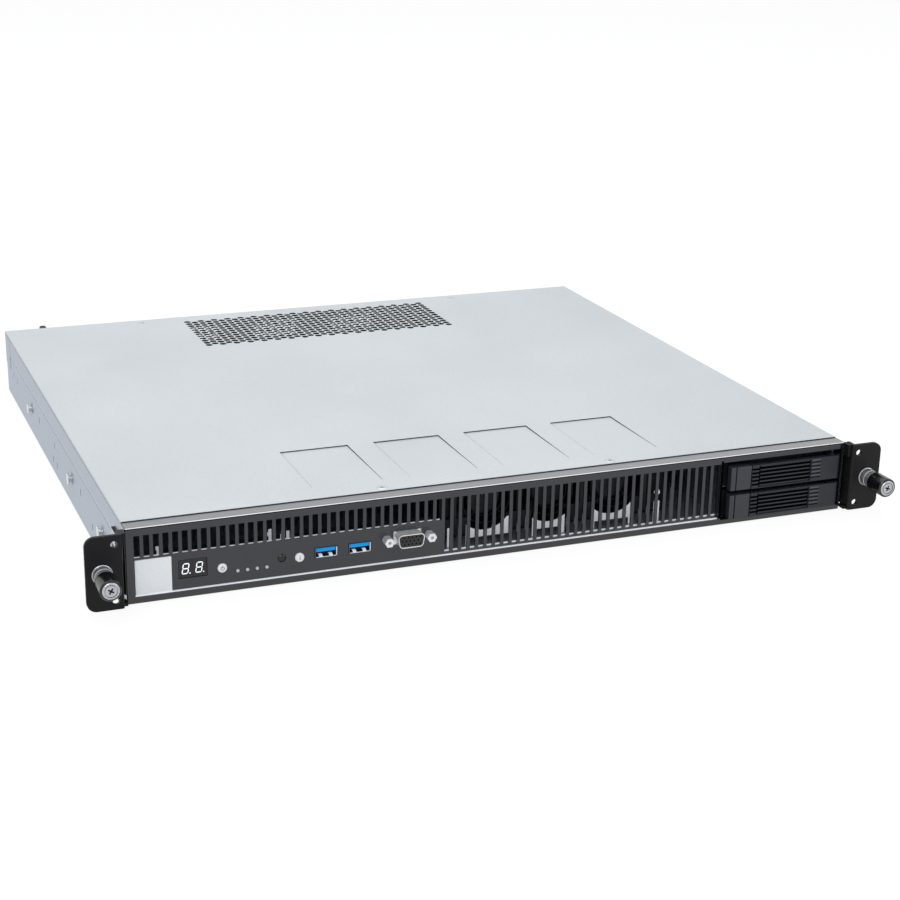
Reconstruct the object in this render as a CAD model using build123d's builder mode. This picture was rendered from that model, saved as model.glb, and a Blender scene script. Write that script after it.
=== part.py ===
"""A one-unit rack server with two hot-swap drive trays in front and a power supply behind.

Millimetres, +X to the right seen from the front, +Y to the back, +Z up.
The origin is the centre of the case's underside.
"""

from build123d import *
import math
import os

os.makedirs("parts", exist_ok=True)

# Case
case_width = 438.0
case_depth = 400.0
case_height = 43.6
sheet = 1.0
seam = 0.3
half = case_width / 2
front = -case_depth / 2
back = case_depth / 2
floor_bend = 1.5
wall_top = case_height - sheet

# The cover's side flanges lap the upper part of the walls, which steps in to keep them flush.
lap_height = 30.0
lap_step = sheet + 0.2
wall_step_in = half - lap_step
inner_half = wall_step_in - sheet

# Front frame and the slotted grille recessed in it
frame_depth = 9.2
frame_height = 43.0
frame_wall = 1.2
frame_border = 4.6
frame_sill = 3.8
grille_recess = 2.0
grille_sheet = 1.2
grille_front = front + grille_recess
grille_back = grille_front + grille_sheet
frame_back = front + frame_depth

# Drive bay at the right end of the front
bay_width = 81.4
bay_sill = 3.0
bay_lintel = 39.2
bay_right = half - frame_wall
bay_left = bay_right - bay_width
mullion = 1.6
window_left = frame_border - half
window_right = bay_left - mullion

# Rack ears
ear_reach = 22.3
ear_gap = 2.3
ear_sheet = 2.0
ear_setback = 6.3
ear_bottom = 1.2
ear_height = 41.7
ear_corner = 5.5
ear_leg_end = 25.0
ear_leg_top = 35.5
ear_leg_bottom = 3.0
ear_edge = half + ear_reach
ear_front = front - ear_setback
rack_hole_spacing = 465.1
ear_hole_radius = 1.9
ear_hole_spacing = 451.5
ear_hole_rise = 31.8
ear_middle = 21.8

# Thumbscrews, captive in the ears
sleeve_radius = 5.2
sleeve_length = 9.6
screw_radius = 2.4
screw_clearance = 0.4
knob_radius = 6.2
knob_length = 13.2
head_radius = 4.6
screw_travel = 6.0
clip_sheet = 0.8


def save(piece, name):
    """Label a finished piece and write it."""
    piece.part.label = name
    export_step(piece.part, f"parts/{name}.step")


def upright(depth):
    """Sketch plane that faces the front at this depth; a negative extrude goes to the back."""
    return Plane.XZ.offset(-depth)


def level(height):
    """Sketch plane seen from above at this height."""
    return Plane.XY.offset(height)


def rectangle(x_range, z_range, mode=Mode.ADD):
    """A rectangle between two corners, inside the current sketch."""
    with Locations((sum(x_range) / 2, sum(z_range) / 2)):
        Rectangle(x_range[1] - x_range[0], z_range[1] - z_range[0], mode=mode)


def block(x_range, y_range, z_range, mode=Mode.ADD):
    """A plain block between two corners, inside the current part."""
    ranges = (x_range, y_range, z_range)
    with Locations(tuple(sum(ends) / 2 for ends in ranges)):
        Box(*[ends[1] - ends[0] for ends in ranges], mode=mode)


# Cover screws: two countersunk ones in front and two at the back
pattern_shift = -1.5
cover_screw_radius = 1.4
cover_screw_head = 3.0
cover_screw_length = 5.0
cover_screw_hole = cover_screw_head - sheet + 0.1
rear_screw_spread = 120.5
front_screw_spread = 70.3
front_screw_depth = 14.5
rear_screw_inset = 7.6
cover_screw_places = [(pattern_shift + side * rear_screw_spread, back - rear_screw_inset)
                      for side in (-1, 1)]
cover_screw_places += [(pattern_shift + side * front_screw_spread, front + front_screw_depth)
                       for side in (-1, 1)]


# Chassis tray: floor and both side walls folded from one sheet, with a strip across the front top
# and nine hexagonal standoffs that carry the motherboard.
tray_back = back - 2.5
wing_length = 18.4
wing_bottom = 21.3
front_strip = 16.0
wall_slot_width = 1.6
wall_slot_height = 4.2
wall_slot_places = ((90.4, 10.3), (123.7, 19.5), (202.2, 9.1), (209.6, 19.8), (215.6, 9.4),
                    (264.7, 19.5), (354.1, 19.9), (367.7, 20.1))
ear_screw_depth = 17.5
ear_screw_heights = (9.0, 24.0)
ear_screw_radius = 1.3
standoff_height = 5.0
standoff_radius = 3.2
standoff_columns = (-138.0, -27.0, 84.0)
standoff_rows = (front + 104.0, front + 244.0, front + 380.0)

with BuildPart() as chassis_base:
    with BuildSketch(upright(frame_back)):
        with BuildLine():
            Polyline(
                (0, 0), (half, 0), (half, lap_height), (wall_step_in, lap_height),
                (wall_step_in, wall_top), (inner_half, wall_top),
                (inner_half, lap_height - sheet), (half - sheet, lap_height - sheet),
                (half - sheet, sheet), (0, sheet), close=True)
        make_face()
        mirror(about=Plane.YZ)
    extrude(amount=frame_back - tray_back)
    corners = chassis_base.edges().filter_by(Axis.Y).group_by(Axis.Z)[0].sort_by(Axis.X)
    fillet((corners[0], corners[-1]), radius=floor_bend)
    block((-inner_half, inner_half), (frame_back + seam, frame_back + front_strip),
          (wall_top - sheet, wall_top))
    with Locations(*[(x, y, wall_top) for x, y in cover_screw_places[2:]]):
        Hole(cover_screw_hole, depth=sheet)
    for side in (-1, 1):
        with Locations((side * half, tray_back - wing_length / 2, (wing_bottom + lap_height) / 2)):
            Box(2 * lap_step, wing_length, lap_height - wing_bottom + seam, mode=Mode.SUBTRACT)
    with BuildSketch(level(sheet)):
        with Locations(*[(x, y) for x in standoff_columns for y in standoff_rows]):
            RegularPolygon(standoff_radius, 6)
    extrude(amount=standoff_height)
    with BuildSketch(Plane.YZ):
        with Locations(*[(front + depth, height) for depth, height in wall_slot_places]):
            Rectangle(wall_slot_width, wall_slot_height)
        with Locations(*[(front + ear_screw_depth, height) for height in ear_screw_heights]):
            Circle(ear_screw_radius + 0.2)
    extrude(amount=half + 1, both=True, mode=Mode.SUBTRACT)
save(chassis_base, "chassis_base")


# Rear panel: a plate across the back with wings round the rear corners and openings for what
# slides in or plugs in there.
psu_width = 54.5
psu_height = 39.5
psu_depth = 185.0
psu_clearance = 0.5
psu_left = psu_clearance - inner_half
psu_right = psu_left + psu_width
psu_bottom = sheet + seam
psu_top = psu_bottom + psu_height
board_bottom = sheet + standoff_height
board_sheet = 1.6
board_top = board_bottom + board_sheet
lan_width = 32.6
lan_height = 13.6
lan_depth = 21.0
lan_left = -139.0
slot_cover_width = 120.0
slot_cover_height = 18.4
slot_cover_middle = 126.0
slot_cover_level = 29.5
rear_flange = 13.0
rear_slot_width = 3.0
rear_slot_height = 12.0
rear_slot_pitch = 5.5
rear_slot_groups = (-80.0, -20.0, 40.0)
panel_front = back - sheet

with BuildPart() as rear_panel:
    with BuildSketch(upright(panel_front)):
        rectangle((-half, half), (wing_bottom, wall_top))
        rectangle((sheet + seam - half, half - sheet - seam), (seam, wing_bottom))
        rectangle((-half - 1, psu_right + seam), (-1, wing_bottom), Mode.SUBTRACT)
        rectangle((psu_left - seam, psu_right + seam), (0, psu_top + seam), Mode.SUBTRACT)
        rectangle((lan_left - seam, lan_left + lan_width + seam),
                  (board_top - seam, board_top + lan_height + seam), Mode.SUBTRACT)
        with Locations((slot_cover_middle, slot_cover_level)):
            Rectangle(slot_cover_width - 8, slot_cover_height - 6, mode=Mode.SUBTRACT)
        with Locations(*[(x, slot_cover_level) for x in rear_slot_groups]):
            with GridLocations(rear_slot_pitch, 0, 6, 1):
                Rectangle(rear_slot_width, rear_slot_height, mode=Mode.SUBTRACT)
    extrude(amount=-sheet)
    for side in (-1, 1):
        low, high = sorted((side * (half - sheet), side * half))
        block((low, high), (back - wing_length, back), (wing_bottom, wall_top))
    block((seam - inner_half, inner_half - seam), (panel_front - rear_flange, back),
          (wall_top - sheet, wall_top))
    block((psu_right + 2, inner_half - seam), (panel_front - rear_flange, back),
          (sheet, 2 * sheet))
    with Locations(*[(x, y, wall_top) for x, y in cover_screw_places[:2]]):
        Hole(cover_screw_hole, depth=sheet)
save(rear_panel, "rear_panel")

with BuildPart() as slot_cover:
    with BuildSketch(upright(panel_front)):
        with Locations((slot_cover_middle, slot_cover_level)):
            Rectangle(slot_cover_width, slot_cover_height)
    extrude(amount=sheet)
    tab_left = slot_cover_middle + slot_cover_width / 2 - sheet
    block((tab_left, tab_left + sheet), (panel_front - 10, panel_front),
          (slot_cover_level - 7, slot_cover_level + 7))
save(slot_cover, "slot_cover")


# Top cover: a plate with side flanges, a honeycomb vent at the back and four label recesses that
# slope down from the front.
cover_front = frame_back + 0.4
cover_bend = 0.8
flange_bottom = lap_height + seam
flange_end = back - wing_length - 1.0
vent_width = 183.0
vent_length = 66.0
vent_end_inset = 15.0
vent_pitch = 11.4
vent_rib = 2.3
recess_width = 41.6
recess_length = 64.0
recess_pitch = 57.6
recess_start = 25.0
recess_depth = 0.6
vent_columns = int(vent_width / (vent_pitch * math.cos(math.pi / 6)))
vent_rows = int(vent_length / vent_pitch)
vent_middle = back - vent_end_inset - vent_length / 2

with BuildPart() as top_cover:
    block((-half, half), (cover_front, back), (wall_top, case_height))
    for side in (-1, 1):
        low, high = sorted((side * (half - sheet), side * half))
        block((low, high), (cover_front, flange_end), (flange_bottom, case_height))
    top_edges = top_cover.edges().filter_by(Axis.Y).group_by(Axis.Z)[-1].sort_by(Axis.X)
    fillet((top_edges[0], top_edges[-1]), radius=cover_bend)
    with BuildSketch(level(case_height)):
        with Locations((pattern_shift, vent_middle)):
            with HexLocations(vent_pitch / 2, vent_columns, vent_rows):
                RegularPolygon((vent_pitch - vent_rib) / 2, 6, major_radius=False, rotation=30)
    extrude(amount=-sheet, mode=Mode.SUBTRACT)
    for number in (-1.5, -0.5, 0.5, 1.5):
        recess_left = pattern_shift + number * recess_pitch - recess_width / 2
        with BuildSketch(Plane.YZ.offset(recess_left)):
            with BuildLine():
                Polyline(
                    (front + recess_start, case_height),
                    (front + recess_start + recess_length, case_height),
                    (front + recess_start + recess_length, case_height - recess_depth), close=True)
            make_face()
        extrude(amount=recess_width, mode=Mode.SUBTRACT)
    with Locations(*[(x, y, wall_top) for x, y in cover_screw_places]):
        Cone(cover_screw_head - sheet + 0.1, cover_screw_head + 0.1, sheet,
             align=(Align.CENTER, Align.CENTER, Align.MIN), mode=Mode.SUBTRACT)
save(top_cover, "top_cover")

with BuildPart() as cover_screws:
    cone_depth = cover_screw_head - cover_screw_radius
    with Locations(*[(x, y, case_height - cone_depth) for x, y in cover_screw_places]):
        Cone(cover_screw_radius, cover_screw_head, cone_depth,
             align=(Align.CENTER, Align.CENTER, Align.MIN))
        Cylinder(cover_screw_radius, cover_screw_length - cone_depth,
                 align=(Align.CENTER, Align.CENTER, Align.MAX))
save(cover_screws, "cover_screws")


# Front frame: a raised border with returns all round, open for the grille and for the drive bay.
with BuildPart() as front_frame:
    block((-half, half), (front, frame_back), (0, frame_height))
    fillet(front_frame.faces().sort_by(Axis.Y)[0].edges(), radius=0.7)
    block((frame_wall - half, half - frame_wall), (grille_front, frame_back),
          (frame_wall, frame_height - frame_wall), Mode.SUBTRACT)
    with BuildSketch(upright(front)):
        rectangle((window_left, window_right), (frame_sill, frame_height - frame_border))
        rectangle((bay_left, bay_right), (bay_sill, bay_lintel))
    extrude(amount=-grille_recess, mode=Mode.SUBTRACT)
save(front_frame, "front_frame")


# Front grille with the control panel at its left: short slots above the panel, tall ones beside it.
slot_width = 3.2
slot_pitch = 5.15
slot_top = 37.7
slot_bottom = 5.3
slot_inset = 0.4
control_width = 173.4
control_top = 24.8
first_slot = window_left + slot_inset
slot_count = int((window_right - first_slot + slot_pitch - slot_width) / slot_pitch)
slots = [first_slot + slot_width / 2 + number * slot_pitch for number in range(slot_count)]
control_right = window_left + control_width

# Fittings of the control panel: distance from the window's left edge, and height.
badge_width = 19.6
badge_sheet = 0.8
badge_top = 24.0
display_width = 15.2
display_height = 10.2
display_x = window_left + 31.65
display_z = 15.5
power_x = window_left + 47.6
power_z = 13.4
reset_x = window_left + 80.8
reset_z = 14.5
locate_x = window_left + 90.8
locate_z = 13.7
white_button_radius = 2.55
reset_button_radius = 2.1
button_gap = 0.3
button_travel = 1.0
button_shoulder = 0.8
shoulder_sheet = 0.8
cap_chamfer = 0.4
plunger = 1.2
light_count = 4
light_pitch = 5.4
light_radius = 0.95
light_x = window_left + 56.2
light_z = 10.5
usb_width = 12.9
usb_height = 5.9
usb_sheet = 0.35
usb_places = (window_left + 106.0, window_left + 125.4)
usb_z = 14.75
vga_x = window_left + 153.5
vga_z = 17.3
vga_width = 16.3
vga_height = 7.9
vga_sheet = 0.5
vga_reach = 6.4
vga_flange_width = 30.8
vga_flange_height = 12.5
jackscrew_spread = 25.0
jackscrew_flat = 2.4
jackscrew_hole = 1.0
jackscrew_shank = 1.5
panel_gap = 0.25

with BuildPart() as front_grille:
    with BuildSketch(upright(grille_front)):
        rectangle((window_left - 2.2, bay_left - 0.4), (frame_wall + 0.4, frame_height - 1.8))
        with Locations(*[(x, (control_top + slot_top) / 2) for x in slots if x < control_right]):
            Rectangle(slot_width, slot_top - control_top, mode=Mode.SUBTRACT)
        with Locations(*[(x, (slot_bottom + slot_top) / 2) for x in slots if x > control_right]):
            Rectangle(slot_width, slot_top - slot_bottom, mode=Mode.SUBTRACT)
        with Locations((display_x, display_z)):
            Rectangle(display_width + 2 * panel_gap, display_height + 2 * panel_gap,
                      mode=Mode.SUBTRACT)
        with Locations((power_x, power_z), (locate_x, locate_z)):
            Circle(white_button_radius + button_gap, mode=Mode.SUBTRACT)
        with Locations((reset_x, reset_z)):
            Circle(reset_button_radius + button_gap, mode=Mode.SUBTRACT)
        with Locations(*[(light_x + number * light_pitch, light_z)
                         for number in range(light_count)]):
            RegularPolygon(light_radius + panel_gap, 8, mode=Mode.SUBTRACT)
        with Locations(*[(x, usb_z) for x in usb_places]):
            Rectangle(usb_width + 2 * panel_gap, usb_height + 2 * panel_gap, mode=Mode.SUBTRACT)
        with Locations((vga_x, vga_z)):
            Rectangle(vga_width + 2 * panel_gap, vga_height + 2 * panel_gap, mode=Mode.SUBTRACT)
        with Locations(*[(vga_x + side * jackscrew_spread / 2, vga_z) for side in (-1, 1)]):
            RegularPolygon(jackscrew_shank + 0.2, 6, major_radius=False, mode=Mode.SUBTRACT)
    extrude(amount=-grille_sheet)
save(front_grille, "front_grille")

with BuildPart() as badge_plate:
    with BuildSketch(upright(grille_front)):
        rectangle((first_slot, first_slot + badge_width), (frame_sill + 0.1, badge_top))
    extrude(amount=badge_sheet)
    fillet(badge_plate.edges().filter_by(Axis.Y), radius=0.4)
save(badge_plate, "badge_plate")


# Control board behind the panel, with its switches, and the bracket that carries it.
control_board_front = front + 12.0
control_board_left = window_left + 14.0
control_board_top = 23.6
button_end = control_board_front - 2.6
switch_front = button_end + button_travel + 0.3
bracket_sheet = 0.8
bracket_front = control_board_front + board_sheet
bracket_tabs = ((window_left + 14.6, 25.3), (window_left + 76.3, 25.4), (window_left + 83.0, 22.8),
                (window_left + 86.4, 22.6))
bracket_tab_width = 1.9

with BuildPart() as control_board:
    with BuildSketch(upright(control_board_front)):
        rectangle((control_board_left, control_right - 3), (sheet + 1.5, control_board_top))
    extrude(amount=-board_sheet)
    for x, z in ((power_x, power_z), (reset_x, reset_z), (locate_x, locate_z)):
        block((x - 2, x + 2), (switch_front, control_board_front), (z - 2, z + 2))
save(control_board, "control_board")

with BuildPart() as control_bracket:
    block((control_board_left - 2, control_right - 2), (bracket_front, bracket_front + bracket_sheet),
          (sheet, control_board_top - 4))
    block((control_board_left - 2, control_right - 2), (bracket_front, bracket_front + 9),
          (sheet, sheet + bracket_sheet))
    for left, top in bracket_tabs:
        block((left, left + bracket_tab_width), (bracket_front, bracket_front + bracket_sheet),
              (sheet, top))
save(control_bracket, "control_bracket")

with BuildPart() as code_display:
    with BuildSketch(upright(grille_front + 0.3)):
        with Locations((display_x, display_z)):
            Rectangle(display_width, display_height)
    extrude(amount=grille_front + 0.3 - control_board_front)
save(code_display, "code_display")


def push_button(x, z, radius, proud):
    """A round cap with a square shoulder that keeps it in its hole, and a square plunger."""
    cap_front = grille_front - proud
    shoulder_front = grille_back + seam
    shoulder = radius + button_shoulder
    with BuildPart() as button:
        with BuildSketch(upright(shoulder_front)):
            with Locations((x, z)):
                Circle(radius)
        extrude(amount=shoulder_front - cap_front)
        chamfer(button.faces().sort_by(Axis.Y)[0].edges(), length=cap_chamfer)
        block((x - shoulder, x + shoulder), (shoulder_front, shoulder_front + shoulder_sheet),
              (z - shoulder, z + shoulder))
        block((x - plunger, x + plunger), (shoulder_front, button_end), (z - plunger, z + plunger))
    return button


save(push_button(power_x, power_z, white_button_radius, 1.0), "power_button")
save(push_button(locate_x, locate_z, white_button_radius, 1.0), "locate_button")
save(push_button(reset_x, reset_z, reset_button_radius, 0.4), "reset_button")

with BuildPart() as light_pipes:
    with BuildSketch(upright(grille_front - 0.2)):
        with Locations(*[(light_x + number * light_pitch, light_z)
                         for number in range(light_count)]):
            RegularPolygon(light_radius, 8)
    extrude(amount=grille_front - 0.2 - control_board_front)
save(light_pipes, "light_pipes")


# USB ports: folded metal shells, each with a tongue near the top.
usb_front = grille_front - 0.4
tongue_sheet = 1.9
tongue_gap = 0.3
tongue_recess = 0.9

with BuildPart() as usb_shells:
    with BuildSketch(upright(usb_front)):
        with Locations(*[(x, usb_z) for x in usb_places]):
            Rectangle(usb_width, usb_height)
            Rectangle(usb_width - 2 * usb_sheet, usb_height - 2 * usb_sheet, mode=Mode.SUBTRACT)
    extrude(amount=usb_front - control_board_front)
    with BuildSketch(upright(control_board_front)):
        with Locations(*[(x, usb_z) for x in usb_places]):
            Rectangle(usb_width, usb_height)
    extrude(amount=usb_sheet)
save(usb_shells, "usb_shells")

with BuildPart() as usb_tongues:
    tongue_top = usb_z + usb_height / 2 - usb_sheet - tongue_gap
    with BuildSketch(upright(usb_front + tongue_recess)):
        for x in usb_places:
            rectangle((x - usb_width / 2 + 1, x + usb_width / 2 - 1),
                      (tongue_top - tongue_sheet, tongue_top))
    extrude(amount=usb_front + tongue_recess - control_board_front + usb_sheet)
save(usb_tongues, "usb_tongues")


# Display port: a D shell that stands out of the panel, its insert with 15 contact holes, and the
# two jack screws beside it.
vga_front = grille_front - vga_reach
vga_corner = 2.4
vga_lean = 10
vga_fit = 0.1
contact_pitch = 2.29
contact_row = 1.98
contact_radius = 0.5
contact_depth = 3.0
jackscrew_length = 5.6
jackscrew_end = grille_back + 4.5


def d_profile(depth, wall):
    """Sketch of the port's D outline at this depth, wide side up, shrunk by a wall all round."""
    wide = vga_width / 2 - wall
    tall = vga_height / 2 - wall
    lean = 2 * tall * math.tan(math.radians(vga_lean))
    with BuildSketch(upright(depth)) as profile:
        with BuildLine():
            Polyline(
                (vga_x - wide, vga_z + tall), (vga_x + wide, vga_z + tall),
                (vga_x + wide - lean, vga_z - tall), (vga_x - wide + lean, vga_z - tall), close=True)
        make_face()
        fillet(profile.vertices(), radius=vga_corner - wall)
    return profile.sketch


with BuildPart() as vga_shell:
    extrude(d_profile(vga_front, 0), amount=vga_front - grille_back)
    with BuildSketch(upright(grille_back)):
        with Locations((vga_x, vga_z)):
            Rectangle(vga_flange_width, vga_flange_height)
        with Locations(*[(vga_x + side * jackscrew_spread / 2, vga_z) for side in (-1, 1)]):
            RegularPolygon(jackscrew_shank + 0.2, 6, major_radius=False, mode=Mode.SUBTRACT)
    extrude(amount=-vga_sheet)
    extrude(d_profile(vga_front, vga_sheet), amount=vga_front - grille_back - vga_sheet,
            mode=Mode.SUBTRACT)
save(vga_shell, "vga_shell")

with BuildPart() as vga_insert:
    extrude(d_profile(vga_front + vga_sheet, vga_sheet + vga_fit), amount=vga_front - grille_back)
    with BuildSketch(upright(grille_back + vga_sheet)):
        with Locations((vga_x, vga_z)):
            Rectangle(vga_width, vga_height)
    extrude(amount=grille_back + vga_sheet - control_board_front)
    with BuildSketch(upright(vga_front + vga_sheet)):
        for row in (-1, 0, 1):
            with Locations((vga_x + (row % 2 - 0.5) * contact_pitch / 2, vga_z + row * contact_row)):
                with GridLocations(contact_pitch, 0, 5, 1):
                    RegularPolygon(contact_radius, 6)
    extrude(amount=-contact_depth, mode=Mode.SUBTRACT)
save(vga_insert, "vga_insert")

with BuildPart() as vga_jackscrews:
    spots = [(vga_x + side * jackscrew_spread / 2, vga_z) for side in (-1, 1)]
    with BuildSketch(upright(grille_front)):
        with Locations(*spots):
            RegularPolygon(jackscrew_flat, 6, major_radius=False)
    extrude(amount=jackscrew_length)
    with BuildSketch(upright(grille_front)):
        with Locations(*spots):
            Circle(jackscrew_shank)
    extrude(amount=grille_front - jackscrew_end)
    with BuildSketch(upright(grille_front - jackscrew_length)):
        with Locations(*spots):
            Circle(jackscrew_hole)
    extrude(amount=-(jackscrew_length - 1), mode=Mode.SUBTRACT)
save(vga_jackscrews, "vga_jackscrews")


# Rack ears: a face in front of the case, a bend, and a leg that steps in against the side wall.
ear_bend = 1.4
ear_step_start = 4.0
ear_step_end = 8.5
ear_screw_head = 2.6
sleeve_spigot = 4.5
sleeve_x = rack_hole_spacing / 2


def rack_ear(side):
    """One ear; side is -1 for the left and 1 for the right."""
    with BuildPart() as ear:
        with BuildSketch(level(ear_bottom)):
            with BuildLine():
                path = FilletPolyline(
                    (ear_edge, ear_front), (half + ear_gap, ear_front),
                    (half + ear_gap, front + ear_step_start), (half, front + ear_step_end),
                    (half, front + ear_leg_end), radius=ear_bend)
                offset(path, amount=ear_sheet, side=Side.RIGHT)
            make_face()
        extrude(amount=ear_height)
        ear_top = ear_bottom + ear_height
        block((half - 1, half + ear_gap + ear_sheet + 1), (front + 1, front + ear_leg_end + 1),
              (ear_leg_top, ear_top + 1), Mode.SUBTRACT)
        block((half - 1, half + ear_gap + ear_sheet + 1), (front + 1, front + ear_leg_end + 1),
              (ear_bottom - 1, ear_leg_bottom), Mode.SUBTRACT)
        outer = ear.edges().filter_by(Axis.Y).filter_by(lambda e: e.center().X > ear_edge - 0.1)
        fillet(outer, radius=ear_corner)
        with BuildSketch(upright(ear_front)):
            with Locations((sleeve_x, ear_middle)):
                Circle(sleeve_spigot + 0.1)
            with Locations((ear_hole_spacing / 2, ear_middle)):
                with GridLocations(0, ear_hole_rise, 1, 2):
                    Circle(ear_hole_radius)
        extrude(amount=-ear_sheet, mode=Mode.SUBTRACT)
        with Locations(*[Plane(origin=(half + ear_sheet, front + ear_screw_depth, height),
                               z_dir=(1, 0, 0)) for height in ear_screw_heights]):
            Cone(ear_screw_radius + 0.2, ear_screw_head + 0.1, ear_sheet,
                 align=(Align.CENTER, Align.CENTER, Align.MAX), mode=Mode.SUBTRACT)
        if side < 0:
            mirror(about=Plane.YZ, mode=Mode.REPLACE)
    return ear


save(rack_ear(-1), "ear_left")
save(rack_ear(1), "ear_right")

with BuildPart() as ear_screws:
    for side in (-1, 1):
        with Locations(*[Plane(origin=(side * (half + ear_sheet), front + ear_screw_depth, height),
                               z_dir=(side, 0, 0)) for height in ear_screw_heights]):
            Cone(ear_screw_radius, ear_screw_head, ear_sheet,
                 align=(Align.CENTER, Align.CENTER, Align.MAX))
        with Locations(*[Plane(origin=(side * half, front + ear_screw_depth, height),
                               z_dir=(side, 0, 0)) for height in ear_screw_heights]):
            Cylinder(ear_screw_radius, 2 * sheet, align=(Align.CENTER, Align.CENTER, Align.MAX))
save(ear_screws, "ear_screws")


# Rail studs: shouldered pins on both walls, for the inner rails of a rack kit.
stud_places = ((62.0, 18.2), (152.5, 18.2), (295.3, 18.2))
stud_radius = 2.0
stud_head = 3.6
stud_reach = 2.6
stud_head_sheet = 0.9

with BuildPart() as rail_studs:
    for side in (-1, 1):
        for depth, height in stud_places:
            with Locations(Plane(origin=(side * half, front + depth, height), z_dir=(side, 0, 0))):
                Cylinder(stud_radius, stud_reach - stud_head_sheet,
                         align=(Align.CENTER, Align.CENTER, Align.MIN))
            with Locations(Plane(origin=(side * (half + stud_reach), front + depth, height),
                                 z_dir=(side, 0, 0))):
                Cylinder(stud_head, stud_head_sheet, align=(Align.CENTER, Align.CENTER, Align.MAX))
save(rail_studs, "rail_studs")


# Captive thumbscrews: a square clip pushed into each screw's groove rides in the sleeve and keeps
# the screw from coming out.
sleeve_ring = 5.7
sleeve_ring_length = 1.2
sleeve_front = ear_front - sleeve_length
sleeve_bore = screw_radius + screw_clearance
cavity_radius = 3.9
cavity_front = sleeve_front + 1.6
clip_front = cavity_front + 0.1
clip_side = 5.0
groove_radius = 1.9
head_front = ear_front - 22.8
head_thickness = 2.0
knob_front = head_front + 0.6
knob_back = knob_front + knob_length
knob_web = sleeve_front - screw_travel - 0.6
screw_tip = ear_front + 1.4
cross_length = 4.6
cross_width = 0.9
cross_depth = 1.2


def turned(x, points):
    """A piece turned about a thumbscrew's axis, from its profile of radii and depths."""
    with BuildPart() as piece:
        with BuildSketch(Plane(origin=(x, 0, ear_middle))):
            with BuildLine():
                Polyline(*points, close=True)
            make_face()
        revolve(axis=Axis((x, 0, ear_middle), (0, 1, 0)))
    return piece


sleeve_profile = [
    (sleeve_bore, sleeve_front), (sleeve_radius, sleeve_front),
    (sleeve_radius, ear_front - sleeve_ring_length), (sleeve_ring, ear_front - sleeve_ring_length),
    (sleeve_ring, ear_front), (sleeve_spigot, ear_front), (sleeve_spigot, ear_front + ear_sheet),
    (cavity_radius, ear_front + ear_sheet), (cavity_radius, cavity_front),
    (sleeve_bore, cavity_front)]
screw_profile = [
    (0, head_front), (head_radius - 0.5, head_front), (head_radius, head_front + 0.5),
    (head_radius, head_front + head_thickness), (screw_radius, head_front + head_thickness),
    (screw_radius, clip_front - 0.05), (groove_radius, clip_front - 0.05),
    (groove_radius, clip_front + clip_sheet + 0.05),
    (screw_radius, clip_front + clip_sheet + 0.05), (screw_radius, screw_tip - 1),
    (screw_radius - 1, screw_tip), (0, screw_tip)]
knob_profile = [
    (screw_radius + 0.05, head_front + head_thickness),
    (head_radius + 0.1, head_front + head_thickness), (head_radius + 0.1, knob_front),
    (knob_radius - 0.5, knob_front), (knob_radius, knob_front + 0.5), (knob_radius, knob_back),
    (sleeve_radius + 0.3, knob_back), (sleeve_radius + 0.3, knob_web),
    (screw_radius + 0.05, knob_web)]

with BuildPart() as thumbscrew_sleeves:
    for side in (-1, 1):
        add(turned(side * sleeve_x, sleeve_profile).part)
save(thumbscrew_sleeves, "thumbscrew_sleeves")

for side, end in ((-1, "left"), (1, "right")):
    x = side * sleeve_x
    with BuildPart() as thumbscrew:
        add(turned(x, screw_profile).part)
        with BuildSketch(upright(head_front)):
            with Locations((x, ear_middle)):
                Rectangle(cross_length, cross_width)
                Rectangle(cross_width, cross_length)
        extrude(amount=-cross_depth, mode=Mode.SUBTRACT)
    save(thumbscrew, f"thumbscrew_{end}")
    save(turned(x, knob_profile), f"knob_{end}")
    with BuildPart() as retainer:
        with BuildSketch(upright(clip_front)):
            with Locations((x, ear_middle)):
                Rectangle(clip_side, clip_side)
            with Locations((x, ear_middle - clip_side / 4)):
                Rectangle(2 * groove_radius + 0.1, clip_side / 2 + 2 * groove_radius + 0.1,
                          mode=Mode.SUBTRACT)
        extrude(amount=-clip_sheet)
    save(retainer, f"retainer_{end}")


# Drive cage: two side walls and three shelves behind the bay, with a bright tongue at the front.
cage_sheet = 0.8
cage_front = frame_back + 1.3
cage_right = inner_half
tray_gap = 0.3
tray_width = 73.7
tray_height = 14.6
tray_pitch = 17.5
tray_front = front - 1.0
tray_right = cage_right - cage_sheet - tray_gap
tray_left = tray_right - tray_width
tray_end = front + 118.0
lower_tray = bay_sill + 0.4
tray_levels = {"lower": lower_tray, "upper": lower_tray + tray_pitch}
cage_left = tray_left - tray_gap - cage_sheet
backplane_front = tray_end + 3.7
backplane_gap = 0.2
cage_back = backplane_front + board_sheet + 2.4
tongue_left = bay_left + 25.0
tongue_width = 43.0
tongue_front = front + 2.8
cage_top = bay_lintel

with BuildPart() as drive_cage:
    block((cage_left, cage_left + cage_sheet), (cage_front, cage_back), (sheet, cage_top))
    block((cage_right - cage_sheet, cage_right), (cage_front, cage_back), (sheet, cage_top))
    for height in [bottom - tray_gap for bottom in tray_levels.values()] + [cage_top]:
        block((cage_left, cage_right), (cage_front, cage_back), (height - cage_sheet, height))
    block((cage_left + cage_sheet, cage_right - cage_sheet),
          (backplane_front - backplane_gap, backplane_front + board_sheet + backplane_gap),
          (sheet, cage_top - cage_sheet), Mode.SUBTRACT)
    block((tongue_left, tongue_left + tongue_width), (tongue_front, cage_front),
          (cage_top - cage_sheet, cage_top))
save(drive_cage, "drive_cage")


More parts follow.
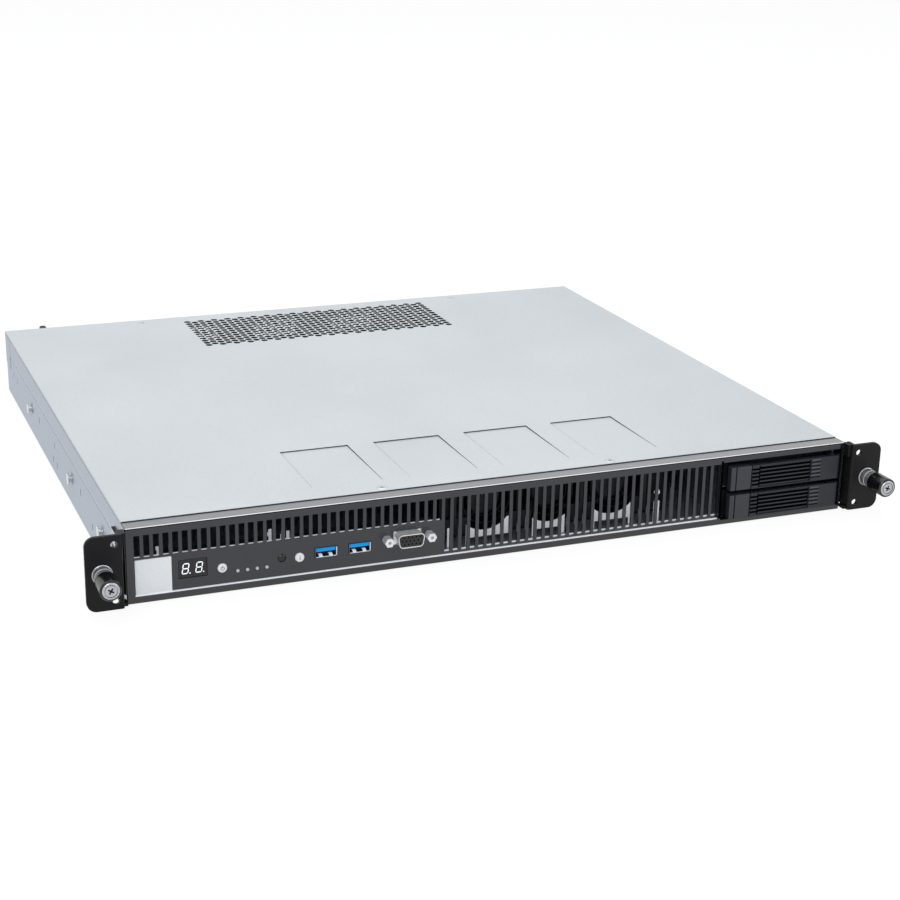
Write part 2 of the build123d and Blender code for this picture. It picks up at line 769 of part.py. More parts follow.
# Backplane across the back of the cage, with one drive socket and one air hole for each bay.
drive_width = 69.85
drive_length = 100.0
drive_height = 9.5
drive_front = front + 12.0
drive_end = drive_front + drive_length
drive_middle = (tray_left + tray_right) / 2
tray_floor = 1.0
socket_width = 42.0
socket_height = 5.2

with BuildPart() as drive_backplane:
    with BuildSketch(upright(backplane_front)):
        rectangle((cage_left + cage_sheet + backplane_gap, cage_right - cage_sheet - backplane_gap),
                  (sheet + 0.8, cage_top - cage_sheet - backplane_gap))
        with Locations(*[(drive_middle + side * 30, bottom + tray_height / 2)
                         for bottom in tray_levels.values() for side in (-1, 1)]):
            Rectangle(8, 10, mode=Mode.SUBTRACT)
    extrude(amount=-board_sheet)
    for bottom in tray_levels.values():
        with BuildSketch(upright(drive_end + tray_gap)):
            with Locations((drive_middle, bottom + tray_floor + drive_height / 2)):
                Rectangle(socket_width, socket_height)
        extrude(amount=drive_end + tray_gap - backplane_front)
save(drive_backplane, "drive_backplane")


# Drive trays. Each has a floor with side rails, a perforated front plate with two lugs for the
# lever's pin, and two shelves between which the release catch slides.
plate_front = front + 8.8
plate_sheet = 1.4
rail_height = 12.0
rail_sheet = 1.2
pin_radius = 1.0
pin_x = tray_right - 3.2
pin_y = front + 3.0
lug_radius = 2.3
lug_sheet = 1.2
catch_left = bay_left + 5.2
catch_width = 13.6
catch_front = tray_front
catch_back = front + 3.4
catch_right = catch_left + catch_width
shelf_sheet = 1.3
lever_left = catch_right + 0.5
lever_right = tray_right + 1.3
lever_back = front + 2.4


def tray_body(bottom):
    """The tray itself, without its lever, pin and catch."""
    top = bottom + tray_height
    with BuildPart() as tray:
        block((tray_left, tray_right), (plate_front, tray_end), (bottom, bottom + tray_floor))
        for left in (tray_left, tray_right - rail_sheet):
            block((left, left + rail_sheet), (plate_front, tray_end), (bottom, bottom + rail_height))
        with BuildSketch(upright(plate_front)):
            rectangle((tray_left, tray_right), (bottom, top))
            with Locations((drive_middle, (bottom + top) / 2)):
                with GridLocations(16, 0, 4, 1):
                    Rectangle(13, 9, mode=Mode.SUBTRACT)
        extrude(amount=-plate_sheet)
        for height in (bottom, top - lug_sheet):
            with BuildSketch(level(height)) as lug:
                with Locations((pin_x, pin_y)):
                    Circle(lug_radius)
                with Locations((pin_x, (pin_y + plate_front) / 2)):
                    Rectangle(2 * lug_radius, plate_front - pin_y)
                with Locations((pin_x, pin_y)):
                    Circle(pin_radius + 0.03, mode=Mode.SUBTRACT)
            extrude(amount=lug_sheet)
        for height in (bottom, top - shelf_sheet):
            block((tray_left + 1.5, catch_right + 0.3), (catch_back + tray_gap, plate_front),
                  (height, height + shelf_sheet))
        block((catch_right + 0.8, catch_right + 3.6), (lever_back + tray_gap, plate_front),
              (bottom, top))
    return tray


# Levers: the louvred face of each tray, hinged on a pin at its right end.
rib_pitch = 2.4
rib_gap = 1.3
rib_left = lever_left + 4.6
rib_right = rib_left + 36.0
rib_setback = 1.0
tab_right = rib_right + 6.6
hinge_pocket_left = pin_x - 4.6
skin = 1.4


def tray_lever(bottom):
    """One lever, with five louvre slots, side tabs and a hub for the pin."""
    top = bottom + tray_height
    middle = bottom + tray_height / 2
    with BuildPart() as lever:
        block((lever_left, lever_right), (tray_front, lever_back), (bottom, top))
        upright_edges = lever.edges().filter_by(Axis.Z)
        fillet(upright_edges.group_by(Axis.X)[-1].sort_by(Axis.Y)[0], radius=2.4)
        fillet(upright_edges.group_by(Axis.X)[0].sort_by(Axis.Y)[0], radius=0.5)
        block((rib_left, rib_right), (tray_front, tray_front + rib_setback),
              (bottom + 0.5, top - 0.5), Mode.SUBTRACT)
        with BuildSketch(upright(tray_front)):
            with Locations(((rib_left + rib_right) / 2, middle)):
                with GridLocations(0, rib_pitch, 1, 5):
                    Rectangle(rib_right - rib_left, rib_gap)
        extrude(amount=tray_front - lever_back, mode=Mode.SUBTRACT)
        with BuildSketch(upright(tray_front)):
            with Locations(((rib_right + tab_right) / 2, middle)):
                with GridLocations(0, rib_pitch, 1, 5):
                    Rectangle(tab_right - rib_right, rib_gap - 0.5)
            with Locations((lever_left + 2.3, middle)):
                with GridLocations(0, rib_pitch, 1, 5):
                    Rectangle(4.6, rib_gap - 0.5)
        extrude(amount=-rib_setback, mode=Mode.SUBTRACT)
        for low, high in ((bottom - 1, bottom + lug_sheet + tray_gap),
                          (top - lug_sheet - tray_gap, top + 1)):
            block((hinge_pocket_left, pin_x + 3.0), (tray_front + skin, lever_back + 1),
                  (low, high), Mode.SUBTRACT)
        with BuildSketch(level(bottom + lug_sheet + tray_gap)):
            with Locations((pin_x, pin_y)):
                Circle(lug_radius)
            with Locations((pin_x, (pin_y + tray_front + skin) / 2)):
                Rectangle(2 * lug_radius, pin_y - tray_front - skin)
        extrude(amount=tray_height - 2 * (lug_sheet + tray_gap))
        with Locations((pin_x, pin_y, middle)):
            Cylinder(pin_radius + 0.06, tray_height, mode=Mode.SUBTRACT)
    return lever


# Release catches: a thumb bar and a block beside it, on a tongue that slides between the shelves.
bar_width = 3.0
bar_groove = 0.8


def release_catch(bottom):
    """One catch at the left end of a tray."""
    top = bottom + tray_height
    with BuildPart() as catch:
        block((catch_left, catch_right), (catch_front, catch_back), (bottom, top))
        fillet(catch.faces().sort_by(Axis.Y)[0].edges(), radius=0.5)
        block((catch_left + bar_width, catch_left + bar_width + bar_groove),
              (catch_front - 1, catch_front + 1.2), (bottom - 1, top + 1), Mode.SUBTRACT)
        block((catch_left + 4, catch_right - 2.4), (catch_back, plate_front - tray_gap),
              (bottom + shelf_sheet + tray_gap, top - shelf_sheet - tray_gap))
    return catch


def lever_pin(bottom):
    """The pin of one lever, flush with the outsides of the lugs."""
    with BuildPart() as pin:
        with Locations((pin_x, pin_y, bottom)):
            Cylinder(pin_radius, tray_height, align=(Align.CENTER, Align.CENTER, Align.MIN))
    return pin


def drive(bottom):
    """A 2.5 inch drive lying on the tray's floor, its lid a step smaller than its base."""
    with BuildPart() as body:
        with BuildSketch(level(bottom + tray_floor)):
            with Locations((drive_middle, drive_front + drive_length / 2)):
                RectangleRounded(drive_width, drive_length, 1.5)
        extrude(amount=drive_height - 1.2)
        with BuildSketch(level(bottom + tray_floor + drive_height - 1.2)):
            with Locations((drive_middle, drive_front + drive_length / 2)):
                RectangleRounded(drive_width - 4, drive_length - 4, 3)
        extrude(amount=1.2)
    return body


for name, bottom in tray_levels.items():
    save(tray_body(bottom), f"tray_{name}")
    save(tray_lever(bottom), f"lever_{name}")
    save(release_catch(bottom), f"catch_{name}")
    save(lever_pin(bottom), f"lever_pin_{name}")
    save(drive(bottom), f"drive_{name}")


# Fan wall: a galvanised plate with three round openings, a foot that runs back under the fans, and
# rubber mounts on its front between the openings.
fan_size = 40.0
fan_length = 28.0
fan_pitch = 40.8
fan_count = 3
fan_middle = 38.4
fan_opening = 18.5
fan_z = sheet + 1.4 + fan_size / 2
wall_front = front + 31.0
fan_front = wall_front + sheet
fan_places = [fan_middle + (number - (fan_count - 1) / 2) * fan_pitch for number in range(fan_count)]
mount_width = 16.0
mount_height = 10.0
mount_sheet = 2.4
mount_waist = 3.0

with BuildPart() as fan_wall:
    with BuildSketch(upright(wall_front)):
        rectangle((fan_places[0] - 28.6, fan_places[-1] + 34.3), (sheet, wall_top - sheet))
        with Locations(*[(x, fan_z) for x in fan_places]):
            Circle(fan_opening, mode=Mode.SUBTRACT)
    extrude(amount=-sheet)
    block((fan_places[0] - 28.6, fan_places[-1] + 34.3), (fan_front, fan_front + fan_length),
          (sheet, 2 * sheet))
save(fan_wall, "fan_wall")

with BuildPart() as fan_mounts:
    with BuildSketch(upright(wall_front - mount_sheet)):
        for number in range(fan_count + 1):
            x = fan_places[0] + (number - 0.5) * fan_pitch
            with Locations((x, fan_z)):
                Rectangle(mount_waist, fan_size - 2)
            with Locations((x, fan_z + fan_size / 2 - 1 - mount_height / 2),
                           (x, fan_z - fan_size / 2 + 1 + mount_height / 2)):
                Rectangle(mount_width, mount_height)
    extrude(amount=-mount_sheet)
save(fan_mounts, "fan_mounts")


# Fans: square frames with a round duct and a motor seat on four struts, and rotors with cambered
# blades that turn on the frame's stub shaft. Depths here run from each fan's front face.
duct_radius = 18.9
hub_radius = 10.6
hub_front = 2.0
hub_back = 22.0
motor_seat_front = 24.5
strut_width = 1.8
shaft_radius = 1.5
shaft_front = 8.0
blade_count = 7
blade_sheet = 1.0
blade_chord = 12.5
blade_rise = 1.6
blade_root = hub_radius - 0.5
blade_tip = 17.4
blade_pitch = 40
hub_chamfer = 1.0


def fan_axis(x):
    """Frame of one fan: its own Z runs back along the air's way from the fan's front face."""
    return Plane(origin=(x, fan_front, fan_z), x_dir=(1, 0, 0), z_dir=(0, 1, 0))


def fan_frame(x):
    """Square housing of one fan."""
    axis = fan_axis(x)
    with BuildPart() as housing:
        with BuildSketch(axis):
            Rectangle(fan_size, fan_size)
            Circle(duct_radius, mode=Mode.SUBTRACT)
        extrude(amount=fan_length)
        with BuildSketch(axis.offset(motor_seat_front)):
            Circle(hub_radius)
            with PolarLocations(0, 4, start_angle=45):
                with Locations((duct_radius / 2 + 3, 0)):
                    Rectangle(duct_radius - 4, strut_width)
        extrude(amount=fan_length - motor_seat_front)
        with BuildSketch(axis.offset(shaft_front)):
            Circle(shaft_radius)
        extrude(amount=motor_seat_front - shaft_front)
    return housing


def fan_rotor(x):
    """Hub and cambered blades of one fan."""
    slope = math.radians(blade_pitch)
    section = Plane(origin=(blade_root, 0, (hub_front + hub_back) / 2),
                    x_dir=(0, math.cos(slope), math.sin(slope)), z_dir=(1, 0, 0))
    with BuildPart() as blade:
        with BuildSketch(section):
            with BuildLine():
                camber = ThreePointArc((-blade_chord / 2, 0), (0, blade_rise), (blade_chord / 2, 0))
                offset(camber, amount=blade_sheet, side=Side.RIGHT)
            make_face()
        extrude(amount=blade_tip - blade_root)
    with BuildPart(fan_axis(x)) as rotor:
        with Locations((0, 0, hub_front)):
            Cylinder(hub_radius, hub_back - hub_front,
                     align=(Align.CENTER, Align.CENTER, Align.MIN))
        chamfer(rotor.faces().sort_by(Axis.Y)[0].edges(), length=hub_chamfer)
        with PolarLocations(0, blade_count):
            add(blade.part)
        with Locations((0, 0, shaft_front - seam)):
            Cylinder(shaft_radius + 0.05, hub_back, mode=Mode.SUBTRACT,
                     align=(Align.CENTER, Align.CENTER, Align.MIN))
    return rotor


for number, x in enumerate(fan_places, start=1):
    save(fan_frame(x), f"fan_frame_{number}")
    save(fan_rotor(x), f"fan_rotor_{number}")


# Motherboard on the chassis standoffs, with the processor and memory sockets and some larger parts.
board_left = -150.0
board_right = 96.0
board_front = front + 92.0
board_back = back - 4.0
socket_side = 58.0
cooler_width = 86.0
cooler_length = 92.0
cooler_middle = fan_middle
cooler_front = board_front + 40.0
cooler_bottom = board_top + 4.0
cooler_top = wall_top - 3.0
cooler_base = 3.5
fin_sheet = 1.0
fin_count = 22
memory_length = 133.0
memory_height = 30.0
memory_sheet = 1.3
memory_count = 4
memory_pitch = 9.4
memory_left = cooler_middle - cooler_width / 2 - 14 - memory_count * memory_pitch
memory_front = board_front + 20.0
slot_wall = 2.4
slot_height = 6.0
slot_floor = 2.0
memory_fit = 0.1
memory_places = [memory_left + number * memory_pitch for number in range(memory_count)]

with BuildPart() as motherboard:
    block((board_left, board_right), (board_front, board_back), (board_bottom, board_top))
    with Locations((cooler_middle, cooler_front + cooler_length / 2, board_top)):
        Box(socket_side, socket_side, cooler_bottom - board_top,
            align=(Align.CENTER, Align.CENTER, Align.MIN))
    for x in memory_places:
        block((x - slot_wall, x + slot_wall), (memory_front - 4, memory_front + memory_length + 4),
              (board_top, board_top + slot_height))
        block((x - memory_sheet / 2 - memory_fit, x + memory_sheet / 2 + memory_fit),
              (memory_front - memory_fit, memory_front + memory_length + memory_fit),
              (board_top + slot_floor, board_top + slot_height), Mode.SUBTRACT)
    block((board_left + 20, board_left + 60), (board_front + 120, board_front + 160),
          (board_top, board_top + 12))
    block((board_left + 6, board_left + 16), (board_front + 20, board_front + 72),
          (board_top, board_top + 11))
    block((board_right - 14, board_right - 6), (board_front + 150, board_front + 240),
          (board_top, board_top + 11))
save(motherboard, "motherboard")

with BuildPart() as cpu_cooler:
    with BuildSketch(upright(cooler_front)):
        with Locations((cooler_middle, cooler_bottom + cooler_base / 2)):
            Rectangle(cooler_width, cooler_base)
        with Locations((cooler_middle, (cooler_bottom + cooler_base + cooler_top) / 2)):
            with GridLocations((cooler_width - fin_sheet) / (fin_count - 1), 0, fin_count, 1):
                Rectangle(fin_sheet, cooler_top - cooler_bottom - cooler_base)
    extrude(amount=-cooler_length)
save(cpu_cooler, "cpu_cooler")

with BuildPart() as memory_modules:
    for x in memory_places:
        block((x - memory_sheet / 2, x + memory_sheet / 2),
              (memory_front, memory_front + memory_length),
              (board_top + slot_floor, board_top + slot_floor + memory_height))
save(memory_modules, "memory_modules")


# Network ports on the board's back edge: two sockets side by side in one metal shell.
port_width = 12.0
port_height = 9.0
port_depth = 13.0
port_pitch = 16.0
port_level = board_top + 7.3
port_middle = lan_left + lan_width / 2
port_mouth = 2.4
contact_shelf = 1.6

with BuildPart() as lan_ports:
    block((lan_left, lan_left + lan_width), (back - lan_depth, back),
          (board_top, board_top + lan_height))
    with BuildSketch(upright(back)):
        with Locations((port_middle, port_level)):
            with GridLocations(port_pitch, 0, 2, 1):
                Rectangle(port_width, port_height)
        with Locations((port_middle, port_level - port_height / 2 - 0.8)):
            with GridLocations(port_pitch, 0, 2, 1):
                Rectangle(6, 1.6)
    extrude(amount=port_depth, mode=Mode.SUBTRACT)
    for side in (-0.5, 0.5):
        with Locations((port_middle + side * port_pitch, back - port_depth,
                        port_level + port_height / 2)):
            Box(9, port_depth - port_mouth, contact_shelf,
                align=(Align.CENTER, Align.MIN, Align.MAX))
save(lan_ports, "lan_ports")


# Power supply: a closed case that slides out to the back, with its inlet, pull handle and latch.
psu_front = back - psu_depth
psu_middle = (psu_left + psu_right) / 2
inlet_width = 20.4
inlet_height = 28.4
inlet_depth = 22.0
inlet_x = psu_right - 12.9
inlet_z = psu_bottom + 19.0
inlet_flange = 1.2
inlet_cavity_width = 15.8
inlet_cavity_height = 24.2
inlet_cavity_depth = 16.0
blade_width = 2.0
blade_height = 4.0
blade_front_gap = 4.8
handle_x = -189.0
handle_width = 3.4
handle_sheet = 2.6
handle_low = psu_bottom + 6.0
handle_high = psu_top - 2.6
handle_reach = 26.7
handle_bend = 6.0
handle_socket = 5.0
handle_fit = 0.1
latch_x = psu_left + 8.0
latch_z = psu_bottom + 5.4
latch_width = 7.0
latch_height = 6.0
latch_travel = 2.5
latch_reach = 11.0
latch_root = 9.0
air_slot_width = 2.2
air_slot_pitch = 4.4
air_slot_low = psu_bottom + 13.0
air_slot_high = psu_top - 3.0
air_slot_depth = 6.0
edge_card = 8.0

with BuildPart() as psu_case:
    block((psu_left, psu_right), (psu_front, back), (psu_bottom, psu_top))
    fillet(psu_case.edges().filter_by(Axis.Y), radius=0.8)
    block((psu_middle - 20, psu_middle + 20), (psu_front - edge_card, psu_front),
          (psu_bottom + 5, psu_bottom + 5 + board_sheet))
    with BuildSketch(upright(back)):
        with Locations((inlet_x, inlet_z)):
            Rectangle(inlet_width + 0.2, inlet_height + 0.2)
    extrude(amount=inlet_depth + 0.2, mode=Mode.SUBTRACT)
    with BuildSketch(upright(back)):
        with Locations((psu_left + 11.5, (air_slot_low + air_slot_high) / 2)):
            with GridLocations(air_slot_pitch, 0, 4, 1):
                Rectangle(air_slot_width, air_slot_high - air_slot_low)
    extrude(amount=air_slot_depth, mode=Mode.SUBTRACT)
    for height in (handle_low, handle_high):
        block((handle_x - handle_width / 2 - handle_fit, handle_x + handle_width / 2 + handle_fit),
              (back - handle_socket - handle_fit, back + 1),
              (height - handle_sheet / 2 - handle_fit, height + handle_sheet / 2 + handle_fit),
              Mode.SUBTRACT)
    block((latch_x - latch_width / 2 - seam, latch_x + latch_width / 2 + latch_travel + seam),
          (back - latch_root - seam, back + 1),
          (latch_z - latch_height / 2 - seam, latch_z + latch_height / 2 + seam), Mode.SUBTRACT)
save(psu_case, "psu_case")

with BuildPart() as ac_inlet:
    with BuildSketch(upright(back)):
        with Locations((inlet_x, inlet_z)):
            Rectangle(inlet_width, inlet_height)
    extrude(amount=inlet_depth)
    with BuildSketch(upright(back)):
        with Locations((inlet_x, inlet_z)):
            Rectangle(inlet_width + 3, inlet_height + 3)
    extrude(amount=-inlet_flange)
    with BuildSketch(upright(back + inlet_flange)):
        with Locations((inlet_x, inlet_z)):
            cavity = Rectangle(inlet_cavity_width, inlet_cavity_height)
        chamfer(cavity.vertices().group_by(Axis.X)[0], length=4)
    extrude(amount=inlet_cavity_depth, mode=Mode.SUBTRACT)
    with BuildSketch(upright(back + inlet_flange - blade_front_gap)):
        with Locations((inlet_x + 2, inlet_z - 7), (inlet_x + 2, inlet_z + 7), (inlet_x - 2, inlet_z)):
            Rectangle(blade_height, blade_width)
    extrude(amount=inlet_cavity_depth - blade_front_gap)
save(ac_inlet, "ac_inlet")

with BuildPart() as psu_handle:
    with BuildSketch(Plane.YZ.offset(handle_x - handle_width / 2)):
        with BuildLine():
            bow = FilletPolyline(
                (back - handle_socket, handle_low - handle_sheet / 2),
                (back + handle_reach, handle_low - handle_sheet / 2),
                (back + handle_reach, handle_high + handle_sheet / 2),
                (back - handle_socket, handle_high + handle_sheet / 2), radius=handle_bend)
            offset(bow, amount=handle_sheet, side=Side.LEFT)
        make_face()
    extrude(amount=handle_width)
save(psu_handle, "psu_handle")

with BuildPart() as psu_latch:
    block((latch_x - latch_width / 2, latch_x + latch_width / 2),
          (back - latch_root, back + latch_reach),
          (latch_z - latch_height / 2, latch_z + latch_height / 2))
    block((latch_x - latch_width / 2 - 1, latch_x + latch_width / 2 - 2.4),
          (back + 1.5, back + latch_reach + 1),
          (latch_z - latch_height, latch_z + latch_height), Mode.SUBTRACT)
save(psu_latch, "psu_latch")


# Wall beside the power supply, with a foot on the floor.
bay_wall_front = psu_front - 4.0
bay_wall_left = psu_right + psu_clearance
bay_wall_foot = 8.0

with BuildPart() as psu_bay_wall:
    with BuildSketch(upright(bay_wall_front)):
        rectangle((bay_wall_left, bay_wall_left + sheet), (sheet, wall_top - 1.2))
        rectangle((bay_wall_left, bay_wall_left + bay_wall_foot), (sheet, 2 * sheet))
    extrude(amount=bay_wall_front - (panel_front - rear_flange - seam))
save(psu_bay_wall, "psu_bay_wall")
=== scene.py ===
"""Looks of a one-unit rack server: zinc-plated case, dark slotted front with its control panel and
drive trays, black ears with captive thumbscrews. Metres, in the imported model's frame.
"""

import math

import bpy
from mathutils import Matrix, Vector


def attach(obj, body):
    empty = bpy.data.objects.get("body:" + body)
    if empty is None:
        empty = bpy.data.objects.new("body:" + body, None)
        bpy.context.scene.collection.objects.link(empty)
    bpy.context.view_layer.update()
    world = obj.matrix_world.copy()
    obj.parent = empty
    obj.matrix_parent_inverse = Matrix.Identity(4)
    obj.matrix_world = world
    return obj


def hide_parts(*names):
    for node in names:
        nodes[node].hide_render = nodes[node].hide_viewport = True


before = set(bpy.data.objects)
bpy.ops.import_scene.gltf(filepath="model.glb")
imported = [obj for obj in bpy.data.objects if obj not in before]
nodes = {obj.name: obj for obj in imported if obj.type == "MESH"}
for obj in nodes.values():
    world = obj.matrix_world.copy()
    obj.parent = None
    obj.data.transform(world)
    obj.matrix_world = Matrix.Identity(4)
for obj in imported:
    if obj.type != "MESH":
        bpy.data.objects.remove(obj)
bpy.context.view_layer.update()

# Case tray and rear panel. Sheet steel, electro-galvanised before it is folded, with no paint:
# a matt, pale blue-grey metal with a fine grain and faint clouds from the plating bath.
mm = 0.001
cloud_share = 0.35
ramp_low, ramp_high = 0.35, 0.65
noise_low, noise_high = 0.3, 0.7


def linear(code):
    """An sRGB hex colour as linear red, green, blue and alpha."""
    parts = [int(code[start:start + 2], 16) / 255 for start in (0, 2, 4)]
    return [p / 12.92 if p <= 0.04045 else ((p + 0.055) / 1.055) ** 2.4 for p in parts] + [1.0]


def add_node(material, kind, settings=None, links=None):
    """A shader node with its properties and socket values set and its inputs joined."""
    node = material.node_tree.nodes.new(kind)
    for key, value in (settings or {}).items():
        if isinstance(key, int) or key in node.inputs:
            node.inputs[key].default_value = value
        else:
            setattr(node, key, value)
    for key, socket in (links or {}).items():
        material.node_tree.links.new(socket, node.inputs[key])
    return node


def grained_finish(name, dark, light, grain, depth, roughness, metallic=0.0, clouds=30.0, spread=0.06,
                   strength=0.5, **sockets):
    """A sheet or moulded finish: two near colours in a grain, slow clouds, bump and uneven gloss.
    grain, depth and clouds are in millimetres."""
    material = bpy.data.materials.new(name)
    material.use_nodes = True
    material.node_tree.nodes.clear()
    place = add_node(material, "ShaderNodeTexCoord").outputs["Object"]
    fine = add_node(material, "ShaderNodeTexNoise", {"Scale": 1 / (grain * mm), "Detail": 3.0},
                    {"Vector": place}).outputs["Fac"]
    slow = add_node(material, "ShaderNodeTexNoise", {"Scale": 1 / (clouds * mm), "Detail": 4.0},
                    {"Vector": place}).outputs["Fac"]
    both = add_node(material, "ShaderNodeMix", {"Factor": cloud_share},
                    {"A": fine, "B": slow}).outputs["Result"]
    colour = add_node(material, "ShaderNodeValToRGB", None, {"Fac": both})
    colour.color_ramp.elements[0].position = ramp_low
    colour.color_ramp.elements[0].color = linear(dark)
    colour.color_ramp.elements[1].position = ramp_high
    colour.color_ramp.elements[1].color = linear(light)
    gloss = add_node(material, "ShaderNodeMapRange",
                     {"From Min": noise_low, "From Max": noise_high, "To Min": roughness - spread,
                      "To Max": roughness + spread}, {"Value": slow}).outputs["Result"]
    bump = add_node(material, "ShaderNodeBump", {"Strength": strength, "Distance": depth * mm},
                    {"Height": fine}).outputs["Normal"]
    shader = add_node(material, "ShaderNodeBsdfPrincipled", {"Metallic": metallic, **sockets},
                      {"Base Color": colour.outputs["Color"], "Roughness": gloss, "Normal": bump})
    add_node(material, "ShaderNodeOutputMaterial", None, {"Surface": shader.outputs["BSDF"]})
    return material


def finish_nodes(material, *names):
    """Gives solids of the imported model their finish."""
    for name in names:
        nodes[name].material_slots[0].material = material


zinc_wall = grained_finish("electro_galvanised_sheet", "A9B0BB", "B4BBC6", 0.8, 0.02, 0.5, 0.85,
                           clouds=60)
finish_nodes(zinc_wall, "chassis_base", "rear_panel")

# Slot cover, drive cage, bay wall and supply case. The same plated steel, brighter where it was
# drawn through the press, so its gloss is uneven.
zinc_bright = grained_finish("bright_zinc_plated_steel", "A4A9B1", "B9BEC4", 1.2, 0.03, 0.38, 0.8,
                             clouds=25, spread=0.1)
finish_nodes(zinc_bright, "slot_cover", "drive_cage", "psu_bay_wall", "psu_case")

# Panel bracket: the same sheet, which catches what light comes in through the slots. Its paler
# colour and a faint glow are painted light that stands for that light.
lit_zinc = grained_finish("zinc_in_stray_light", "C8CCD2", "DADDE2", 1.2, 0.03, 0.4, 0.3, clouds=25,
                          **{"Emission Color": linear("DDE1E8"), "Emission Strength": 0.35})
finish_nodes(lit_zinc, "control_bracket")

# Fan wall: sheet steel in a near-black, almost matt finish, which is painted shade, so the inside
# stays dark behind the grille.
fan_wall_painted_shade = grained_finish("black_plate_painted_shade", "141518", "1E2024", 0.9, 0.02, 0.5, 0.4, clouds=12,
                            **{"Specular IOR Level": 0.3})
finish_nodes(fan_wall_painted_shade, "fan_wall")

# Turned and folded fittings: screws, studs, pins, clips and socket shells. Nickel plate over steel
# or brass, clean and bright.
nickel = grained_finish("nickel_plated_steel", "BFC0C1", "D3D4D5", 0.5, 0.006, 0.24, 1.0, clouds=6)
finish_nodes(nickel, "cover_screws", "ear_screws", "rail_studs", "thumbscrew_sleeves",
             "thumbscrew_left", "thumbscrew_right", "retainer_left", "retainer_right",
             "lever_pin_lower", "lever_pin_upper", "lan_ports")

# Port shells: the video port's shell and screws are tin plate, painted paler and given a faint glow
# as painted light, so they come out almost white; the other two are in the grille's painted shade.
lit_tin = grained_finish("tin_plate_painted_lit", "C6C8CB", "DCDEE0", 0.5, 0.006, 0.26, 0.8, clouds=6,
                        **{"Emission Color": linear("E4E6E8"), "Emission Strength": 0.12})
finish_nodes(lit_tin, "vga_shell", "vga_jackscrews")
shaded_tin = grained_finish("tin_plate_in_shade", "55575B", "66686C", 0.5, 0.006, 0.4, 0.8, clouds=6)
finish_nodes(shaded_tin, "usb_shells")

# Boards: glass-filled laminate under a green solder mask, with a faint weave and a waxy gloss.
# They lie in the dark of the case, so the green is deep.
solder_mask = grained_finish("green_solder_mask", "07180F", "0A2116", 0.9, 0.02, 0.4, clouds=9,
                             **{"Coat Weight": 0.1, "Coat Roughness": 0.2})
finish_nodes(solder_mask, "control_board", "drive_backplane", "motherboard", "memory_modules")

# Cooler and drive housings: bare aluminium, extruded or cast and then milled, which leaves a soft,
# even grey.
aluminium = grained_finish("milled_aluminium", "A6A9AC", "B9BCBF", 0.7, 0.012, 0.4, 0.9, clouds=12)
finish_nodes(aluminium, "cpu_cooler", "drive_lower", "drive_upper")

# Fans, port inserts and the mains inlet: black glass-filled polyester, moulded with a fine spark
# texture that keeps it matt.
black_moulding = grained_finish("black_spark_moulding", "0E0E10", "17171A", 0.6, 0.03, 0.46)
finish_nodes(black_moulding, "fan_frame_1", "fan_frame_2", "fan_frame_3", "fan_rotor_1",
             "fan_rotor_2", "fan_rotor_3", "vga_insert", "ac_inlet", "fan_mounts")

# Front frame and grille: steel under a dark blue-grey powder coat. The powder flows out to a fine
# orange peel that turns pale where it is seen at a low angle.
front_coat = grained_finish("dark_powder_coat", "14161D", "1B1D27", 0.9, 0.02, 0.34, clouds=20,
                            **{"Specular IOR Level": 0.0, "Coat Weight": 1.0, "Coat Roughness": 0.18,
                               "Coat IOR": 1.62})
finish_nodes(front_coat, "front_frame", "front_grille")

# Badge plate and the two white buttons: white moulded plastic with a satin face. The plate is
# pressed into the grille and left bare.
white_moulding = grained_finish("white_satin_moulding", "E4E8EC", "EDF0F3", 1.0, 0.01, 0.38,
                                **{"Subsurface Weight": 0.05, "Subsurface Scale": 0.002})
finish_nodes(white_moulding, "badge_plate", "power_button", "locate_button")

# Reset button, display window and thumbscrew knobs: black plastic from a polished mould, which
# shows the lamps as small sharp glints.
black_gloss = grained_finish("black_polished_moulding", "060607", "0C0C0E", 0.5, 0.006, 0.2)
finish_nodes(black_gloss, "reset_button", "knob_left", "knob_right", "code_display")

# Light pipes: clear acrylic rods, moulded and pressed into the grille. Unlit, their ends look pale and
# very glossy; the pale grey and a faint glow on them are a painted glint.
glinting_acrylic = grained_finish("acrylic_painted_glint", "A8ABAF", "C2C5C9", 0.5, 0.004, 0.12, clouds=5,
                                **{"Emission Color": linear("E8ECF0"), "Emission Strength": 0.05})
finish_nodes(glinting_acrylic, "light_pipes")

# Port tongues: blue moulded plastic. A faint glow keeps the colour up in the shade of the port,
# and a low gloss keeps the shell's reflection out of it.
blue_moulding = grained_finish("blue_moulding", "008CDC", "0096E6", 0.6, 0.008, 0.5, clouds=8,
                               **{"Specular IOR Level": 0.1, "Emission Color": linear("009AE6"),
                                  "Emission Strength": 0.35})
finish_nodes(blue_moulding, "usb_tongues")

# Trays, levers, catches and the supply's latch: dark grey moulded plastic with a fine texture. The
# catches are a shade paler.
tray_moulding = grained_finish("dark_grey_moulding", "1E2027", "2A2C34", 0.8, 0.03, 0.45,
                               **{"Specular IOR Level": 0.35})
finish_nodes(tray_moulding, "tray_lower", "tray_upper", "lever_lower", "lever_upper", "psu_latch")
catch_moulding = grained_finish("grey_moulding", "22252C", "2F323B", 0.8, 0.03, 0.42)
finish_nodes(catch_moulding, "catch_lower", "catch_upper")

# Rack ears and the supply's handle: thick steel under a black powder coat, which is matt and takes
# little shine.
ear_coat = grained_finish("black_powder_coat", "0A0A0C", "141417", 0.8, 0.05, 0.5, clouds=15,
                          **{"Specular IOR Level": 0.22})
finish_nodes(ear_coat, "ear_left", "ear_right", "psu_handle")

